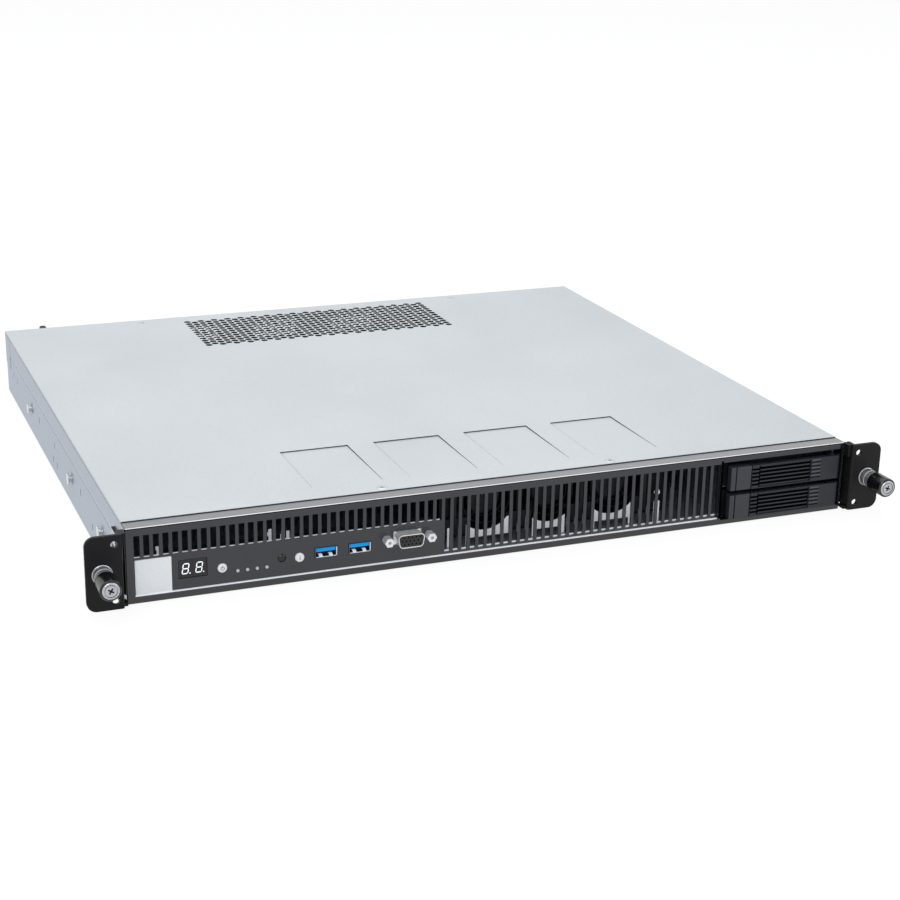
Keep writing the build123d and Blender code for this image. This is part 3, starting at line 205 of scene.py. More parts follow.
# Top cover: one plated steel sheet with folded flanges, a punched honeycomb vent, four label
# recesses that were pressed in from the front, and four countersunk holes.
half, cover_front, cover_back = 219.0, -190.4, 200.0
cover_under, cover_top, flange_low, flange_end = 42.6, 43.6, 30.3, 180.6
sheet, fold_radius, burr = 1.0, 0.8, 0.12
tool_reach, tool_low = 5.0, 20.0
smooth_angle = 35


def block(name, low, high):
    """A block between two corners given in millimetres, alone and selected."""
    bpy.ops.object.select_all(action="DESELECT")
    middle = [(a + b) / 2 * mm for a, b in zip(low, high)]
    bpy.ops.mesh.primitive_cube_add(size=1, location=middle,
                                    scale=[(b - a) * mm for a, b in zip(low, high)])
    bpy.ops.object.transform_apply(location=True, rotation=True, scale=True)
    piece = bpy.context.object
    piece.name = name
    return piece


def only(piece):
    """Makes this piece the one that the next operators act on."""
    bpy.ops.object.select_all(action="DESELECT")
    piece.select_set(True)
    bpy.context.view_layer.objects.active = piece


def modify(piece, kind, **settings):
    """Adds a modifier to a piece and applies it."""
    modifier = piece.modifiers.new(kind.lower(), kind)
    for key, value in settings.items():
        setattr(modifier, key, value)
    only(piece)
    bpy.ops.object.modifier_apply(modifier=modifier.name)


def cut(piece, tool):
    """Takes the tool's volume out of a piece and removes the tool."""
    modify(piece, "BOOLEAN", operation="DIFFERENCE", solver="EXACT", object=tool)
    bpy.data.objects.remove(tool)


def round_edges(piece, test, width, segments):
    """Bevels the edges that pass a test of their two ends. All sizes are in millimetres."""
    only(piece)
    bpy.ops.object.mode_set(mode="EDIT")
    bpy.ops.mesh.select_mode(type="EDGE")
    bpy.ops.mesh.select_all(action="DESELECT")
    bpy.ops.object.mode_set(mode="OBJECT")
    points = piece.data.vertices
    for edge in piece.data.edges:
        edge.select = test(*[points[end].co / mm for end in edge.vertices])
    bpy.ops.object.mode_set(mode="EDIT")
    bpy.ops.mesh.bevel(offset=width * mm, segments=segments)
    bpy.ops.object.mode_set(mode="OBJECT")


def smooth(degrees=smooth_angle):
    """Shades what is selected as smooth, but for the edges that are sharper than the angle."""
    bpy.ops.object.shade_smooth_by_angle(angle=math.radians(degrees))


cover = block("cover_sheet", (-half, cover_front, flange_low), (half, cover_back, cover_top))
round_edges(cover, lambda a, b: min(a.z, b.z) > cover_under and abs(a.x - b.x) < 1, fold_radius, 4)
cut(cover, block("inside", (sheet - half, cover_front - tool_reach, tool_low),
                 (half - sheet, cover_back + tool_reach, cover_under)))
for side in (-1, 1):
    ends = sorted((side * (half - 2 * sheet), side * (half + 2 * sheet)))
    cut(cover, block("corner", (ends[0], flange_end, tool_low),
                     (ends[1], cover_back + tool_reach, cover_under)))

# The vent is two grids of holes, the second one half a step further right and back.
vent_pitch, vent_rib, vent_left, vent_front = 5.76, 1.2, -90.6, 121.5
hole_radius = (vent_pitch - vent_rib) / 2 / math.cos(math.pi / 6)
column = vent_pitch * math.sin(math.pi / 3)
holes = []
for start, rise, columns, rows in ((0, 0, 19, 12), (column, vent_pitch / 2, 18, 11)):
    bpy.ops.object.select_all(action="DESELECT")
    bpy.ops.mesh.primitive_cylinder_add(
        vertices=6, radius=hole_radius * mm, depth=6 * mm, rotation=(0, 0, math.pi / 2),
        location=((vent_left + start) * mm, (vent_front + rise) * mm, cover_top * mm))
    bpy.ops.object.transform_apply(location=True, rotation=True, scale=True)
    hole = bpy.context.object
    for count, step in ((columns, (2 * column * mm, 0, 0)), (rows, (0, vent_pitch * mm, 0))):
        modify(hole, "ARRAY", count=count, use_relative_offset=False, use_constant_offset=True,
               constant_offset_displace=step)
    holes.append(hole)
for hole in holes:
    cut(cover, hole)

# Each recess starts flush at its front edge and is deepest at its rear edge.
recess_middle, recess_pitch, recess_width, recess_depth = -1.5, 57.6, 41.6, 0.6
recess_front, recess_back = -175.0, -111.0
recess_numbers = (-1.5, -0.5, 0.5, 1.5)
for number in recess_numbers:
    middle = recess_middle + number * recess_pitch
    wedge = block("wedge", (middle - recess_width / 2, recess_front, cover_top - recess_depth),
                  (middle + recess_width / 2, recess_back, cover_top + 2 * sheet))
    for spot in wedge.data.vertices:
        if spot.co.z < cover_top * mm and spot.co.y < (recess_front + 1) * mm:
            spot.co.z = cover_top * mm
    cut(cover, wedge)

screw_places = [(-122.0, 192.4), (119.0, 192.4), (-71.8, -185.5), (68.8, -185.5)]
sink_low, sink_high, sink_deep, sink_drop = 1.6, 3.6, 2.0, 0.5
for x, y in screw_places:
    bpy.ops.object.select_all(action="DESELECT")
    bpy.ops.mesh.primitive_cone_add(vertices=40, radius1=sink_low * mm, radius2=sink_high * mm,
                                    depth=sink_deep * mm,
                                    location=(x * mm, y * mm, cover_top * mm - sink_drop * mm))
    bpy.ops.object.transform_apply(location=True, rotation=True, scale=True)
    cut(cover, bpy.context.object)
modify(cover, "BEVEL", width=burr * mm, segments=1, limit_method="ANGLE", angle_limit=math.radians(50))
only(cover)
smooth()

# The flanges are in the walls' finish, and the sheared walls of the vent's holes are dark with
# painted shade inside the holes.
cover_zinc = grained_finish("cover_galvanised_sheet", "B9BFC3", "C3C8CC", 0.9, 0.012, 0.5, 0.6,
                            clouds=70)
painted_shade_steel = grained_finish("steel_edge_painted_shade", "2E3034", "45484D", 0.5, 0.02, 0.55, 0.5, clouds=5)
cover.data.materials.clear()
for material in (cover_zinc, zinc_wall, painted_shade_steel):
    cover.data.materials.append(material)
inner_x, inner_y = 200, 189
for face in cover.data.polygons:
    if abs(face.normal.x) > 0.9 and face.center.z < (cover_top - fold_radius) * mm:
        face.material_index = 1
    elif (abs(face.normal.z) < 0.4 and abs(face.center.x) < inner_x * mm
          and abs(face.center.y) < inner_y * mm):
        face.material_index = 2
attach(cover, "chassis")
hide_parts("top_cover")

# Recess shade lines: dark strips along the edges of the label recesses, painted shade where the
# recess walls fall into shadow. The strips down the right edges are the widest, and those along the
# rear are shallow.
line_right, line_left, line_rear = 0.24, 0.14, 0.2
line_rear_depth, line_drop = 0.34, 0.015


def join(name, pieces):
    """Joins pieces into one and names it."""
    bpy.ops.object.select_all(action="DESELECT")
    for piece in pieces:
        piece.select_set(True)
    bpy.context.view_layer.objects.active = pieces[0]
    bpy.ops.object.join()
    pieces[0].name = name
    return pieces[0]


def finish_piece(piece, material, body, slot, *replaced):
    """Gives a piece its finish, the body it moves with and the solids that it stands for."""
    piece.data.materials.clear()
    piece.data.materials.append(material)
    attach(piece, body)
    if replaced:
        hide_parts(*replaced)


lines = []
for number in recess_numbers:
    middle = recess_middle + number * recess_pitch
    for low, high, start, deep in (
            (recess_width / 2 - line_right, recess_width / 2, recess_front, recess_depth),
            (-recess_width / 2, line_left - recess_width / 2, recess_front, recess_depth),
            (-recess_width / 2, recess_width / 2, recess_back - line_rear, line_rear_depth)):
        lines.append(block("line", (middle + low, start, cover_top - deep),
                           (middle + high, recess_back, cover_top - line_drop)))
finish_piece(join("recess_edge_shade_lines", lines), painted_shade_steel, "chassis", "cover_steel")

# Cross-recess screws: nickel-plated steel, countersunk, with the recess punched into the head.
# Four hold the cover and four hold the ears.
ear_screw_x, ear_screw_y = 221.0, -182.5


def copy_of(piece, matrix):
    """A copy of a piece with its own mesh, moved by a matrix."""
    twin = piece.copy()
    twin.data = piece.data.copy()
    twin.data.transform(matrix)
    bpy.context.scene.collection.objects.link(twin)
    return twin


def shift(x, y, z):
    """A move by millimetres."""
    return Matrix.Translation((x * mm, y * mm, z * mm))


def round_bar(name, radius_low, radius_high, low, high, sides=40):
    """A turned bar along Z, with its own radius at each end."""
    bpy.ops.object.select_all(action="DESELECT")
    bpy.ops.mesh.primitive_cone_add(vertices=sides, radius1=radius_low * mm, radius2=radius_high * mm,
                                    depth=(high - low) * mm, location=(0, 0, (low + high) / 2 * mm))
    bpy.ops.object.transform_apply(location=True, rotation=True, scale=True)
    bpy.context.object.name = name
    return bpy.context.object


def cross_screw(head_radius, head_depth, shank_radius, length, recess):
    """A countersunk screw whose head is flush with Z = 0, pointing down."""
    head = round_bar("screw", shank_radius, head_radius, -head_depth, 0)
    round_edges(head, lambda a, b: min(a.z, b.z) > -0.01 and max(a.z, b.z) < 0.01, 0.15, 2)
    for across, along in ((recess / 7, recess), (recess, recess / 7)):
        cut(head, block("recess", (-across, -along, -0.55 * head_depth), (across, along, 1)))
    shank = round_bar("shank", shank_radius - 0.1, shank_radius, -length, -head_depth, 24)
    screw = join("screw", [head, shank])
    smooth()
    return screw


screw = cross_screw(3.0, 1.6, 1.4, 5.0, 1.5)
spins = (0.5, 1.1, 0.2, 0.9)
placed = [copy_of(screw, shift(x, y, cover_top) @ Matrix.Rotation(spin, 4, "Z"))
          for (x, y), spin in zip(screw_places, spins)]
bpy.data.objects.remove(screw)
finish_piece(join("cover_cross_screws", placed), nickel, "chassis", "nickel_steel", "cover_screws")

ear_screw = cross_screw(2.6, 2.0, 1.3, 4.0, 1.3)
placed = []
for side in (-1, 1):
    for height, spin in ((9.0, 0.4), (24.0, 1.0)):
        placed.append(copy_of(ear_screw, shift(side * ear_screw_x, ear_screw_y, height)
                              @ Matrix.Rotation(side * math.pi / 2, 4, "Y")
                              @ Matrix.Rotation(spin, 4, "Z")))
bpy.data.objects.remove(ear_screw)
finish_piece(join("ear_cross_screws", placed), nickel, "chassis", "nickel_steel", "ear_screws")

# Thumbscrew knobs: black nylon moulded over the screw heads, with a diagonal knurl for the fingers.
# The knurl's crests catch the light as slanting streaks.
sleeve_x, sleeve_z = 232.55, 21.8
knob_radius, knurl_start, knurl_step, knurl_rings = 6.2, -227.9, 0.9, 14


def turned(name, rings, sides=64, knurl=0.0, twist=0.0, knurled=None):
    """A piece turned about Y from rings of radius and depth in millimetres. A knurl draws every
    second corner in, and twist turns each ring of the knurled radius against the one before."""
    bpy.ops.object.select_all(action="DESELECT")
    bpy.ops.mesh.primitive_circle_add(vertices=sides, radius=rings[0][0] * mm,
                                      rotation=(math.pi / 2, 0, 0), location=(0, rings[0][1] * mm, 0))
    bpy.ops.object.transform_apply(location=True, rotation=True, scale=True)
    piece = bpy.context.object
    bpy.ops.object.mode_set(mode="EDIT")
    bpy.ops.mesh.select_all(action="SELECT")
    if knurl:
        bpy.ops.mesh.select_nth(skip=1, nth=1)
        bpy.ops.transform.resize(value=(1 - knurl, 1, 1 - knurl), center_override=(0, 0, 0))
        bpy.ops.mesh.select_all(action="SELECT")
    for (radius_was, y_was), (radius, y) in zip(rings, rings[1:]):
        bpy.ops.mesh.extrude_edges_move(TRANSFORM_OT_translate={"value": (0, (y - y_was) * mm, 0)})
        share = radius / radius_was
        bpy.ops.transform.resize(value=(share, 1, share), center_override=(0, 0, 0))
        if radius == knurled:
            bpy.ops.transform.rotate(value=math.radians(twist), orient_axis="Y",
                                     center_override=(0, 0, 0))
    bpy.ops.mesh.select_all(action="SELECT")
    bpy.ops.mesh.normals_make_consistent(inside=False)
    bpy.ops.object.mode_set(mode="OBJECT")
    smooth(24)
    piece.name = name
    return piece


knob_rings = [(4.75, -227.1), (4.75, -228.5), (5.7, -228.5), (6.1, -228.1)]
knob_rings += [(knob_radius, knurl_start + number * knurl_step) for number in range(knurl_rings)]
knob_rings += [(6.1, -215.6), (5.95, -215.3), (5.75, -215.3), (5.75, -222.4), (2.45, -222.4)]
for side, end in ((-1, "left"), (1, "right")):
    knob = turned(f"knurled_knob_{end}", knob_rings, sides=56, knurl=0.07, twist=6.4,
                  knurled=knob_radius)
    knob.data.transform(shift(side * sleeve_x, 0, sleeve_z))
    finish_piece(knob, black_gloss, f"thumb_{end}", "black_plastic", f"knob_{end}")

# Thumbscrews: nickel-plated steel, turned, with rings on the face of the head round the cross
# recess, which is dark with the shade inside it.
turned_nickel = grained_finish("nickel_turned_face", "A9ABB0", "C4C6CA", 0.4, 0.01, 0.32, 0.8,
                               clouds=3, spread=0.08)
head_rings = [(0.02, -228.9), (3.0, -228.9), (3.1, -228.2), (3.5, -228.2), (3.6, -229.0), (4.3, -229.0),
              (4.6, -228.7), (4.6, -227.1), (2.4, -227.1), (2.4, -205.9), (1.4, -204.9), (0.02, -204.9)]
head_face, cross_reach, cross_half, cross_floor = -228.9, 1.8, 0.45, -227.4
for side, end, spin in ((-1, "left", 0.55), (1, "right", 0.35)):
    thumb = turned(f"ringed_thumbscrew_{end}", head_rings)
    for quarter in (0, math.pi / 2):
        arm = block("arm", (-cross_reach, head_face - 1.1, -cross_half),
                    (cross_reach, cross_floor, cross_half))
        arm.data.transform(Matrix.Rotation(spin + quarter, 4, "Y"))
        cut(thumb, arm)
    inside = [math.hypot(face.center.x, face.center.z) < cross_reach * mm
              and head_face + 0.05 < face.center.y / mm < cross_floor + 1.4
              for face in thumb.data.polygons]
    thumb.data.transform(shift(side * sleeve_x, 0, sleeve_z))
    finish_piece(thumb, turned_nickel, f"thumb_{end}", "nickel_steel", f"thumbscrew_{end}")
    thumb.data.materials.append(painted_shade_steel)
    for face, dark in zip(thumb.data.polygons, inside):
        face.material_index = int(dark)

# Sleeves of the thumbscrews: turned and nickel-plated, with grooves round them and a flange that is
# swaged into the ear.
sleeve_rings = [(2.8, -214.2), (2.8, -215.9), (4.9, -215.9), (5.2, -215.6), (5.2, -211.6),
                (4.8, -211.4), (4.8, -210.9), (5.2, -210.7), (5.2, -206.8), (5.5, -206.6),
                (5.5, -206.3), (4.5, -206.3), (4.5, -204.3), (3.9, -204.3),
                (3.9, -214.2), (2.8, -214.2)]
sleeves = []
for side in (-1, 1):
    sleeve = turned("sleeve", sleeve_rings, sides=56)
    sleeve.data.transform(shift(side * sleeve_x, 0, sleeve_z))
    sleeves.append(sleeve)
finish_piece(join("grooved_sleeves", sleeves), turned_nickel, "chassis", "nickel_steel",
             "thumbscrew_sleeves")

# Code display: two slanted seven-segment digits, each with its point, lit white. They are laid on
# the face of the window, which stands for smoked plastic and isn't seen through.
digit_light = grained_finish("lit_segment", "DDE3E8", "E8EDF1", 0.3, 0.001, 0.4, clouds=3,
                             **{"Emission Color": linear("E8EEF4"), "Emission Strength": 0.55})
display_x, display_z, display_face = -182.75, 15.5, -197.7
stroke, digit_wide, digit_tall, digit_thick = 0.62, 3.1, 5.6, 0.03
digit_middles, digit_slant, point_across, point_radius = (-3.9, 3.5), 9, 2.75, 0.36
bar_end = digit_wide / 2 - 0.14
bar = block("bar", (-bar_end, -digit_thick, -stroke / 2), (bar_end, 0.0, stroke / 2))
round_edges(bar, lambda a, b: abs(a.y - b.y) > 0.01, stroke / 2 * 0.98, 1)
upright_bar = copy_of(bar, Matrix.Rotation(math.pi / 2, 4, "Y") @ Matrix.Scale(0.9, 4))
dot = round_bar("dot", point_radius, point_radius, -digit_thick, 0.0, 16)
dot.data.transform(Matrix.Rotation(math.pi / 2, 4, "X"))
strokes = []
for middle in digit_middles:
    for height in (-digit_tall / 2, 0, digit_tall / 2):
        strokes.append(copy_of(bar, shift(middle, 0, height)))
    for across in (-digit_wide / 2, digit_wide / 2):
        for height in (-digit_tall / 4, digit_tall / 4):
            strokes.append(copy_of(upright_bar, shift(middle + across, 0, height)))
    strokes.append(copy_of(dot, shift(middle + point_across, 0, -digit_tall / 2)))
for spare in (bar, upright_bar, dot):
    bpy.data.objects.remove(spare)
digits = join("display_digits", strokes)
slant = Matrix.Identity(4)
slant[0][2] = math.tan(math.radians(digit_slant))
digits.data.transform(shift(display_x, display_face - 0.02, display_z) @ slant)
finish_piece(digits, digit_light, "chassis", "display_window")

# Button marks: a ring with a stroke on the power button and a dot over a stroke on the locate
# button, pad-printed in grey.
mark_ink = grained_finish("grey_pad_print", "54565B", "5E6065", 0.3, 0.001, 0.5, clouds=3)
mark_front, mark_back = -199.05, -198.9


def wire_ring(radius, thickness, place, steps, sides):
    """A ring of round wire that stands across Y, round a place in millimetres."""
    bpy.ops.object.select_all(action="DESELECT")
    bpy.ops.mesh.primitive_torus_add(major_radius=radius * mm, minor_radius=thickness * mm,
                                     major_segments=steps, minor_segments=sides,
                                     rotation=(math.pi / 2, 0, 0),
                                     location=[value * mm for value in place])
    bpy.ops.object.transform_apply(location=True, rotation=True, scale=True)
    return bpy.context.object


power_ring = wire_ring(0.95, 0.13, (-166.8, -199.0, 13.3), 32, 6)
power_stroke = block("stroke", (-166.95, mark_front, 13.4), (-166.65, mark_back, 14.7))
finish_piece(join("power_mark", [power_ring, power_stroke]), mark_ink, "power_button", "white_plastic")
dot_left, dot_right = -123.8, -123.4
low_stroke = block("stroke", (dot_left, mark_front, 12.6), (dot_right, mark_back, 13.9))
high_dot = block("dot", (dot_left, mark_front, 14.3), (dot_right, mark_back, 14.7))
finish_piece(join("locate_mark", [low_stroke, high_dot]), mark_ink, "locate_button", "white_plastic")

# Port insides: two nickel-plated leaves punched out of each shell and arched upwards, a black sheet of
# painted shade on the floor and the back, and the bright rims of the shell below and at the right.
# The leaves and rims glow faintly, a painted highlight.
port_front, leaf_back, rim_front, rim_back = -197.9, -193.0, -198.3, -198.0
leaf_half, leaf_arch, leaf_low, shade_half = 1.0, 1.0, 12.2, 5.9
leaves = []
port_shades = []
rims = []
for port in (-108.4, -89.0):
    for across in (-2.9, 2.9):
        leaf = block("leaf", (port + across - leaf_half, port_front, leaf_low),
                     (port + across + leaf_half, leaf_back, leaf_low + 0.15))
        bpy.ops.object.mode_set(mode="EDIT")
        bpy.ops.mesh.subdivide(number_cuts=5)
        bpy.ops.object.mode_set(mode="OBJECT")
        for spot in leaf.data.vertices:
            share = (spot.co.y / mm - port_front) / (leaf_back - port_front)
            spot.co.z += leaf_arch * math.sin(math.pi * min(share * 1.15, 1.0)) * mm
        leaves.append(leaf)
    port_shades.append(block("floor", (port - shade_half, port_front, 12.0), (port + shade_half, -191.0, 12.16)))
    port_shades.append(block("back", (port - shade_half, -194.4, 12.0), (port + shade_half, -194.2, 14.6)))
    rims.append(block("sill", (port - 5.7, rim_front, 11.9), (port + 5.7, rim_back, 12.35)))
    rims.append(block("side", (port + 5.75, rim_front, 12.4), (port + 6.2, rim_back, 17.2)))
finish_piece(join("port_painted_shade", port_shades), black_moulding, "chassis", "black_plastic")
springs = join("port_springs", leaves)
smooth()
finish_piece(join("port_springs", [springs, *rims]), lit_zinc, "chassis", "nickel_steel")

# Sill strip: the folded lip of the zinc-plated floor, which shows as a bright line under the grille;
# its pale, faintly glowing finish is a painted highlight. Its upper front edge is rounded by the fold.
strip_front, strip_top = -199.4, 4.26
strip = block("sill_strip", (-214.3, strip_front, 3.82), (134.7, -198.1, strip_top))
round_edges(strip, lambda a, b: min(a.z, b.z) > strip_top - 0.06 and max(a.y, b.y) < strip_front + 0.1,
            0.25, 3)
smooth()
finish_piece(strip, lit_zinc, "chassis", "zinc_steel")

# Slot lips: the sheet behind the grille shows as a bright edge at the foot of each slot, first under
# the tall slots and then over the control panel. That brightness is painted light: a pale finish with
# a faint glow.
lip_front, lip_back = -196.75, -196.2
lips = [block("lip", (-39.0, lip_front, 4.2), (134.6, lip_back, 6.0)),
        block("lip", (-213.8, lip_front, 23.8), (-41.5, lip_back, 25.15))]
finish_piece(join("slot_lips", lips), lit_zinc, "chassis", "zinc_steel")

# Fan skirts: bright zinc pieces that stand on two feet in front of the fans, cut out round for the
# air, so that they show as crescents below the fans; their pale, faintly glowing finish is painted
# light. Two thin uprights stand at their left.
skirt_front, skirt_back, floor_top = -182.4, -182.0, 1.1
skirt_low, skirt_high, foot_wide, foot_top = 5.2, 15.6, 2.0, 5.3
opening_radius, opening_height = 17.6, 26.6
skirts = []
for low, high, middle in ((-19.5, 9.0, -7.9), (22.0, 42.5, 32.4), (60.0, 86.4, 72.6)):
    skirt = block("skirt", (low, skirt_front, skirt_low), (high, skirt_back, skirt_high))
    opening = round_bar("opening", opening_radius, opening_radius, -3.0, 3.0, 64)
    opening.data.transform(shift(middle, -182.2, opening_height) @ Matrix.Rotation(math.pi / 2, 4, "X"))
    cut(skirt, opening)
    skirts.append(skirt)
    for foot in (low, high - foot_wide):
        skirts.append(block("foot", (foot, skirt_front, floor_top), (foot + foot_wide, skirt_back, foot_top)))
for left in (-37.0, -31.0):
    skirts.append(block("upright", (left, skirt_front, floor_top), (left + 1.8, skirt_back, 12.6)))
finish_piece(join("fan_skirts", skirts), lit_zinc, "chassis", "zinc_steel")

# Cable post beside the fans: a bent zinc strip that stands on the floor, with a narrow neck and a
# round cap, in the pale, faintly glowing finish that is painted light.
post_x, post_y, neck_low, cap_middle = 98.9, -189.2, 15.9, 21.7
post = block("post", (post_x - 1.7, post_y - 0.4, floor_top), (post_x + 1.7, post_y + 0.4, neck_low + 0.1))
neck = block("neck", (post_x - 0.6, post_y - 0.2, neck_low), (post_x + 0.6, post_y + 0.4, cap_middle + 0.1))
cap = round_bar("cap", 1.9, 1.4, 0, 1.2, 24)
cap.data.transform(shift(post_x, post_y + 0.3, cap_middle) @ Matrix.Rotation(math.pi / 2, 4, "X"))
finish_piece(join("cable_post", [post, neck, cap]), lit_zinc, "chassis", "zinc_steel")

# Fan guards: rings of steel wire welded to a cross, in front of each fan opening. The wire is dark
# in the shade of the case.
guard_wire, guard_height, guard_reach = 0.22, 22.6, 18.5
guards = []
for middle in (-2.4, 38.4, 79.2):
    for radius in (5.5, 10.0, 14.5):
        guards.append(wire_ring(radius, guard_wire, (middle, -170.2, guard_height), 48, 8))
    for lean in (math.pi / 4, -math.pi / 4):
        wire = round_bar("wire", guard_wire, guard_wire, -guard_reach, guard_reach, 8)
        wire.data.transform(shift(middle, -169.9, guard_height) @ Matrix.Rotation(lean, 4, "Y"))
        guards.append(wire)
wires = join("fan_guards", guards)
smooth()
finish_piece(wires, painted_shade_steel, "chassis", "zinc_steel")

# Bracket fingers: four narrow tongues of the panel bracket, bent up behind the upper slots, in the
# bracket's faintly glowing finish, which is painted light. Each ends at its own height.
finger_low, finger_wide = 20.0, 1.6
fingers = [block("finger", (left, -188.5, finger_low), (left + finger_wide, -188.1, top))
           for left, top in ((-199.8, 25.6), (-138.1, 28.2), (-131.4, 24.4), (-128.0, 26.0))]
finish_piece(join("bracket_fingers", fingers), lit_zinc, "chassis", "zinc_steel")

# Louvre shade: matt black strips, painted shade, that close the slots between a lever's ribs, and
# the notches beside the catch. Paler tabs stand between the slots at the hinge end.
shade_moulding = grained_finish("matt_black_painted_shade", "020203", "050506", 0.6, 0.02, 0.8,
                                **{"Specular IOR Level": 0.0})
tab_moulding = grained_finish("pale_grey_moulding", "3C3E45", "4A4C54", 0.8, 0.02, 0.45)
slot_pitch, backs_back, notch_front, notch_back = 2.4, -199.9, -201.03, -200.9
for body, middle in (("lever_lower", 10.7), ("lever_upper", 28.2)):
    shades = [block("bar", (160.3, -200.06, middle - 6.6), (161.7, backs_back, middle + 6.6))]
    tabs = []
    for number in range(5):
        height = middle + (number - 2) * slot_pitch
        shades.append(block("shade", (160.4, -200.04, height - 0.7), (196.3, backs_back, height + 0.76)))
        shades.append(block("notch", (155.9, notch_front, height - 0.62), (160.3, notch_back, height + 0.62)))
        tabs.append(block("tab", (196.8, -201.04, height + 0.7), (202.8, notch_back, height + 1.7)))
    finish_piece(join(f"louvre_gap_shade_{body}", shades), shade_moulding, body, "black_plastic")
    finish_piece(join(f"louvre_tabs_{body}", tabs), tab_moulding, body, "black_plastic")

# Bay gap shade: a matt black strip down the left side of the drive bay, painted shade that shows as
# a dark gap beside the trays.
bay_shade = block("bay_gap_shade", (134.9, -200.04, 4.2), (136.5, -199.9, 40.2))
finish_piece(bay_shade, shade_moulding, "chassis", "rubber")

# Front edge: the frame's top and side flanges, in a paler grey coat that is a painted sheen for the
# low angle they are seen at; the fold along the top, a bright strip that is a painted highlight; and
# under that a dark line of painted shade.
grazing_sheen_coat = grained_finish("powder_coat_painted_sheen", "43464B", "4F5257", 0.9, 0.02, 0.34, clouds=20,
                             **{"Coat Weight": 1.0, "Coat Roughness": 0.2, "Coat IOR": 1.6})
edge_end, frame_top, edge_front = 218.6, 42.9, -200.1
flange = block("top_flange_painted_sheen", (-edge_end, -199.72, frame_top), (edge_end, -190.9, 43.05))
finish_piece(flange, grazing_sheen_coat, "chassis", "frame_paint")
edge = block("top_edge_painted_highlight", (-edge_end, edge_front, 42.78), (edge_end, -199.75, 43.06))
round_edges(edge, lambda a, b: min(a.z, b.z) > 43 and max(a.y, b.y) < edge_front + 0.1, 0.12, 2)
finish_piece(edge, lit_zinc, "chassis", "zinc_steel")
sides = [block("side", (low, -199.7, 3.0), (low + 0.12, -191.0, frame_top)) for low in (-219.1, 218.98)]
finish_piece(join("side_flange_painted_sheen", sides), grazing_sheen_coat, "chassis", "frame_paint")
fold = block("front_fold_painted_shade", (-edge_end, -200.04, 42.2), (edge_end, -199.9, 42.5))
finish_piece(fold, shade_moulding, "chassis", "rubber")

# Ear corners: black pieces that close the gap between the front frame and the bend of each ear. On
# the outer side of the left ear's leg a strip of paler grey is a painted sheen.
gusset_inner, gusset_outer, gusset_front, gusset_back = 219.3, 221.2, -204.4, -198.4
for side, end in ((-1, "left"), (1, "right")):
    ends = sorted((side * gusset_inner, side * gusset_outer))
    gussets = [block("gusset", (ends[0], gusset_front, low), (ends[1], gusset_back, high))
               for low, high in ((1.5, 3.2), (35.2, 42.6))]
    finish_piece(join(f"ear_corner_{end}", gussets), ear_coat, "chassis", "ear_paint")
flank = block("ear_flank_painted_sheen", (-221.1, -204.0, 27.0), (-220.98, -175.3, 35.4))
finish_piece(flank, grazing_sheen_coat, "chassis", "ear_paint")

# Flange seams: painted shade for the dark gap under the cover's side flanges, a painted highlight
# for the bright sheared edge over it, and a fine line of painted shade along the fold at the top.
seam_front, gap_back = -190.2, 180.4
gaps = []
edges = []
for side in (-1, 1):
    low, high = sorted((side * 218.9, side * 219.05))
    gaps.append(block("gap", (low, seam_front, 29.75), (high, gap_back, 30.28)))
    edges.append(block("edge", (low, seam_front, 30.32), (high, gap_back, 30.62)))
    gaps.append(block("fold_line", (low, seam_front, 42.35), (high, 199.8, cover_under)))
finish_piece(join("flange_gap_shade", gaps), painted_shade_steel, "chassis", "case_steel")
finish_piece(join("flange_edge_highlights", edges), lit_zinc, "chassis", "cover_steel")

# Seam shade: a black strip in the gap between the front frame and the cover, painted shade that
# shows as a fine dark line.
seam = block("seam_gap_shade", (-218.2, -190.76, 42.0), (218.2, -190.42, 43.42))
finish_piece(seam, black_moulding, "chassis", "rubber")

# Studio floor: a pale matt sheet that keeps a faint shadow. What the camera, glass and metal see of
# it is mostly glow, so that it comes out white.
floor_glow, floor_share = 1.06, 0.85
floor_material = bpy.data.materials.new("studio_floor")
floor_material.use_nodes = True
floor_material.node_tree.nodes.clear()
rays = add_node(floor_material, "ShaderNodeLightPath").outputs
seen = add_node(floor_material, "ShaderNodeMath", {"operation": "MAXIMUM"},
                {0: rays["Is Camera Ray"], 1: rays["Is Transmission Ray"]}).outputs[0]
seen = add_node(floor_material, "ShaderNodeMath", {"operation": "MAXIMUM"},
                {0: seen, 1: rays["Is Glossy Ray"]}).outputs[0]
share = add_node(floor_material, "ShaderNodeMath", {"operation": "MULTIPLY", 1: floor_share},
                 {0: seen}).outputs[0]
matt = add_node(floor_material, "ShaderNodeBsdfDiffuse", {"Color": linear("E6E8EA")}).outputs[0]
bright = add_node(floor_material, "ShaderNodeEmission", {"Color": linear("FFFFFF"), "Strength": floor_glow})
mixed = add_node(floor_material, "ShaderNodeMixShader", None,
                 {0: share, 1: matt, 2: bright.outputs[0]}).outputs[0]
add_node(floor_material, "ShaderNodeOutputMaterial", None, {"Surface": mixed})
bpy.ops.object.select_all(action="DESELECT")
bpy.ops.mesh.primitive_plane_add(size=12, location=(0, 0, -0.0005))
floor = bpy.context.object
floor.name = "floor"
floor.data.materials.append(floor_material)

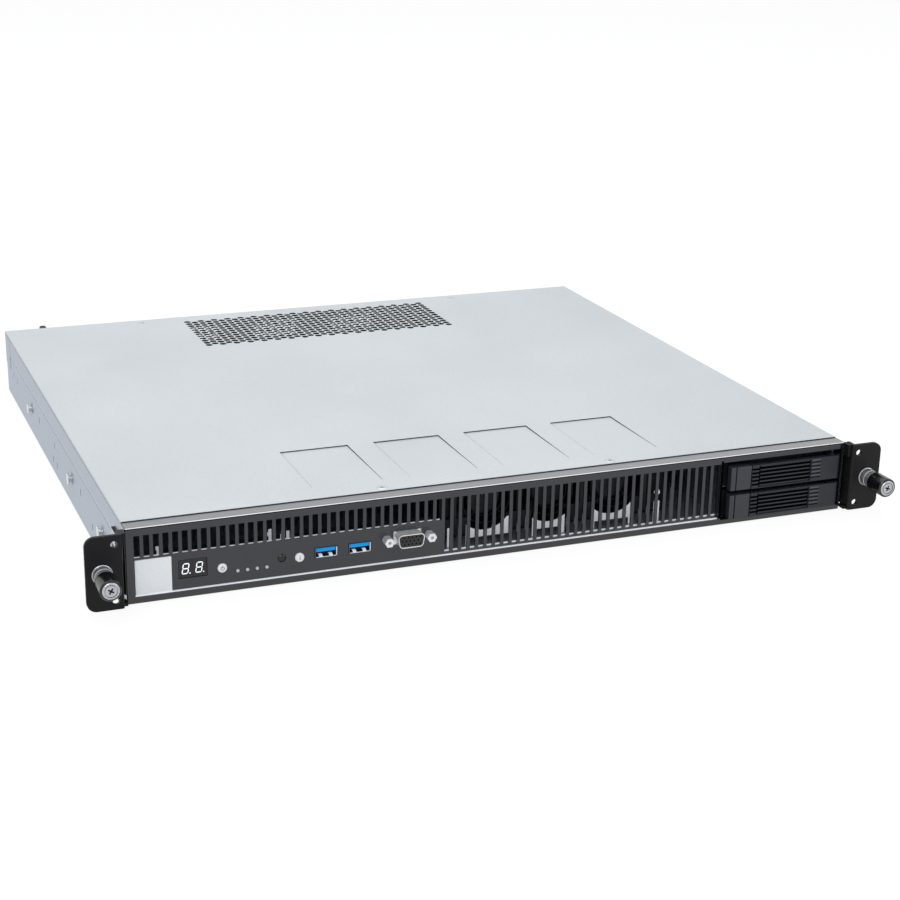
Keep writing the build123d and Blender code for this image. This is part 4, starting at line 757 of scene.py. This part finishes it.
# Studio light: a white surround, which is brighter to the camera and to metal than it is as a light,
# and three soft lamps.
surround_light, surround_seen = 0.55, 1.0
scene = bpy.context.scene
surround = bpy.data.worlds.new("white_surround")
scene.world = surround
surround.use_nodes = True
surround.node_tree.nodes.clear()
rays = add_node(surround, "ShaderNodeLightPath").outputs
seen = add_node(surround, "ShaderNodeMath", {"operation": "MAXIMUM"},
                {0: rays["Is Camera Ray"], 1: rays["Is Glossy Ray"]}).outputs[0]
strength = add_node(surround, "ShaderNodeMapRange", {"To Min": surround_light, "To Max": surround_seen},
                    {"Value": seen}).outputs["Result"]
sky = add_node(surround, "ShaderNodeBackground", {"Color": linear("FFFFFF")}, {"Strength": strength})
add_node(surround, "ShaderNodeOutputWorld", None, {"Surface": sky.outputs[0]})

for name, place, size, power in (("key", (-1.2, -1.6, 1.9), 1.6, 24), ("fill", (1.9, -1.2, 1.3), 1.6, 10),
                                 ("top", (0.1, 0.9, 2.2), 2.2, 22)):
    lamp = bpy.data.lights.new(name, "AREA")
    lamp.size = size
    lamp.energy = power
    holder = bpy.data.objects.new(name, lamp)
    holder.location = place
    holder.rotation_euler = (-Vector(place)).to_track_quat("-Z", "Y").to_euler()
    scene.collection.objects.link(holder)

# Camera, at the photograph's place: turned, tilted and rolled by these degrees, with a lens in
# millimetres for a sensor 36 mm wide.
turn, tilt, roll = (math.radians(angle) for angle in (-21.933, 19.217, 1.127))
sensor, focal_length, camera_place = 36, 73.228, (-0.3925, -1.081654, 0.397834)
back = Vector((math.sin(turn) * math.cos(tilt), -math.cos(turn) * math.cos(tilt), math.sin(tilt)))
right = Vector((math.cos(turn), math.sin(turn), 0))
up = back.cross(right)
axes = Matrix([right * math.cos(roll) + up * math.sin(roll),
               up * math.cos(roll) - right * math.sin(roll), back]).transposed().to_4x4()
lens = bpy.data.cameras.new("camera")
lens.sensor_width = sensor
lens.lens = focal_length
camera = bpy.data.objects.new("camera", lens)
camera.matrix_world = Matrix.Translation(camera_place) @ axes
scene.collection.objects.link(camera)
scene.camera = camera

scene.view_settings.view_transform = "Standard"
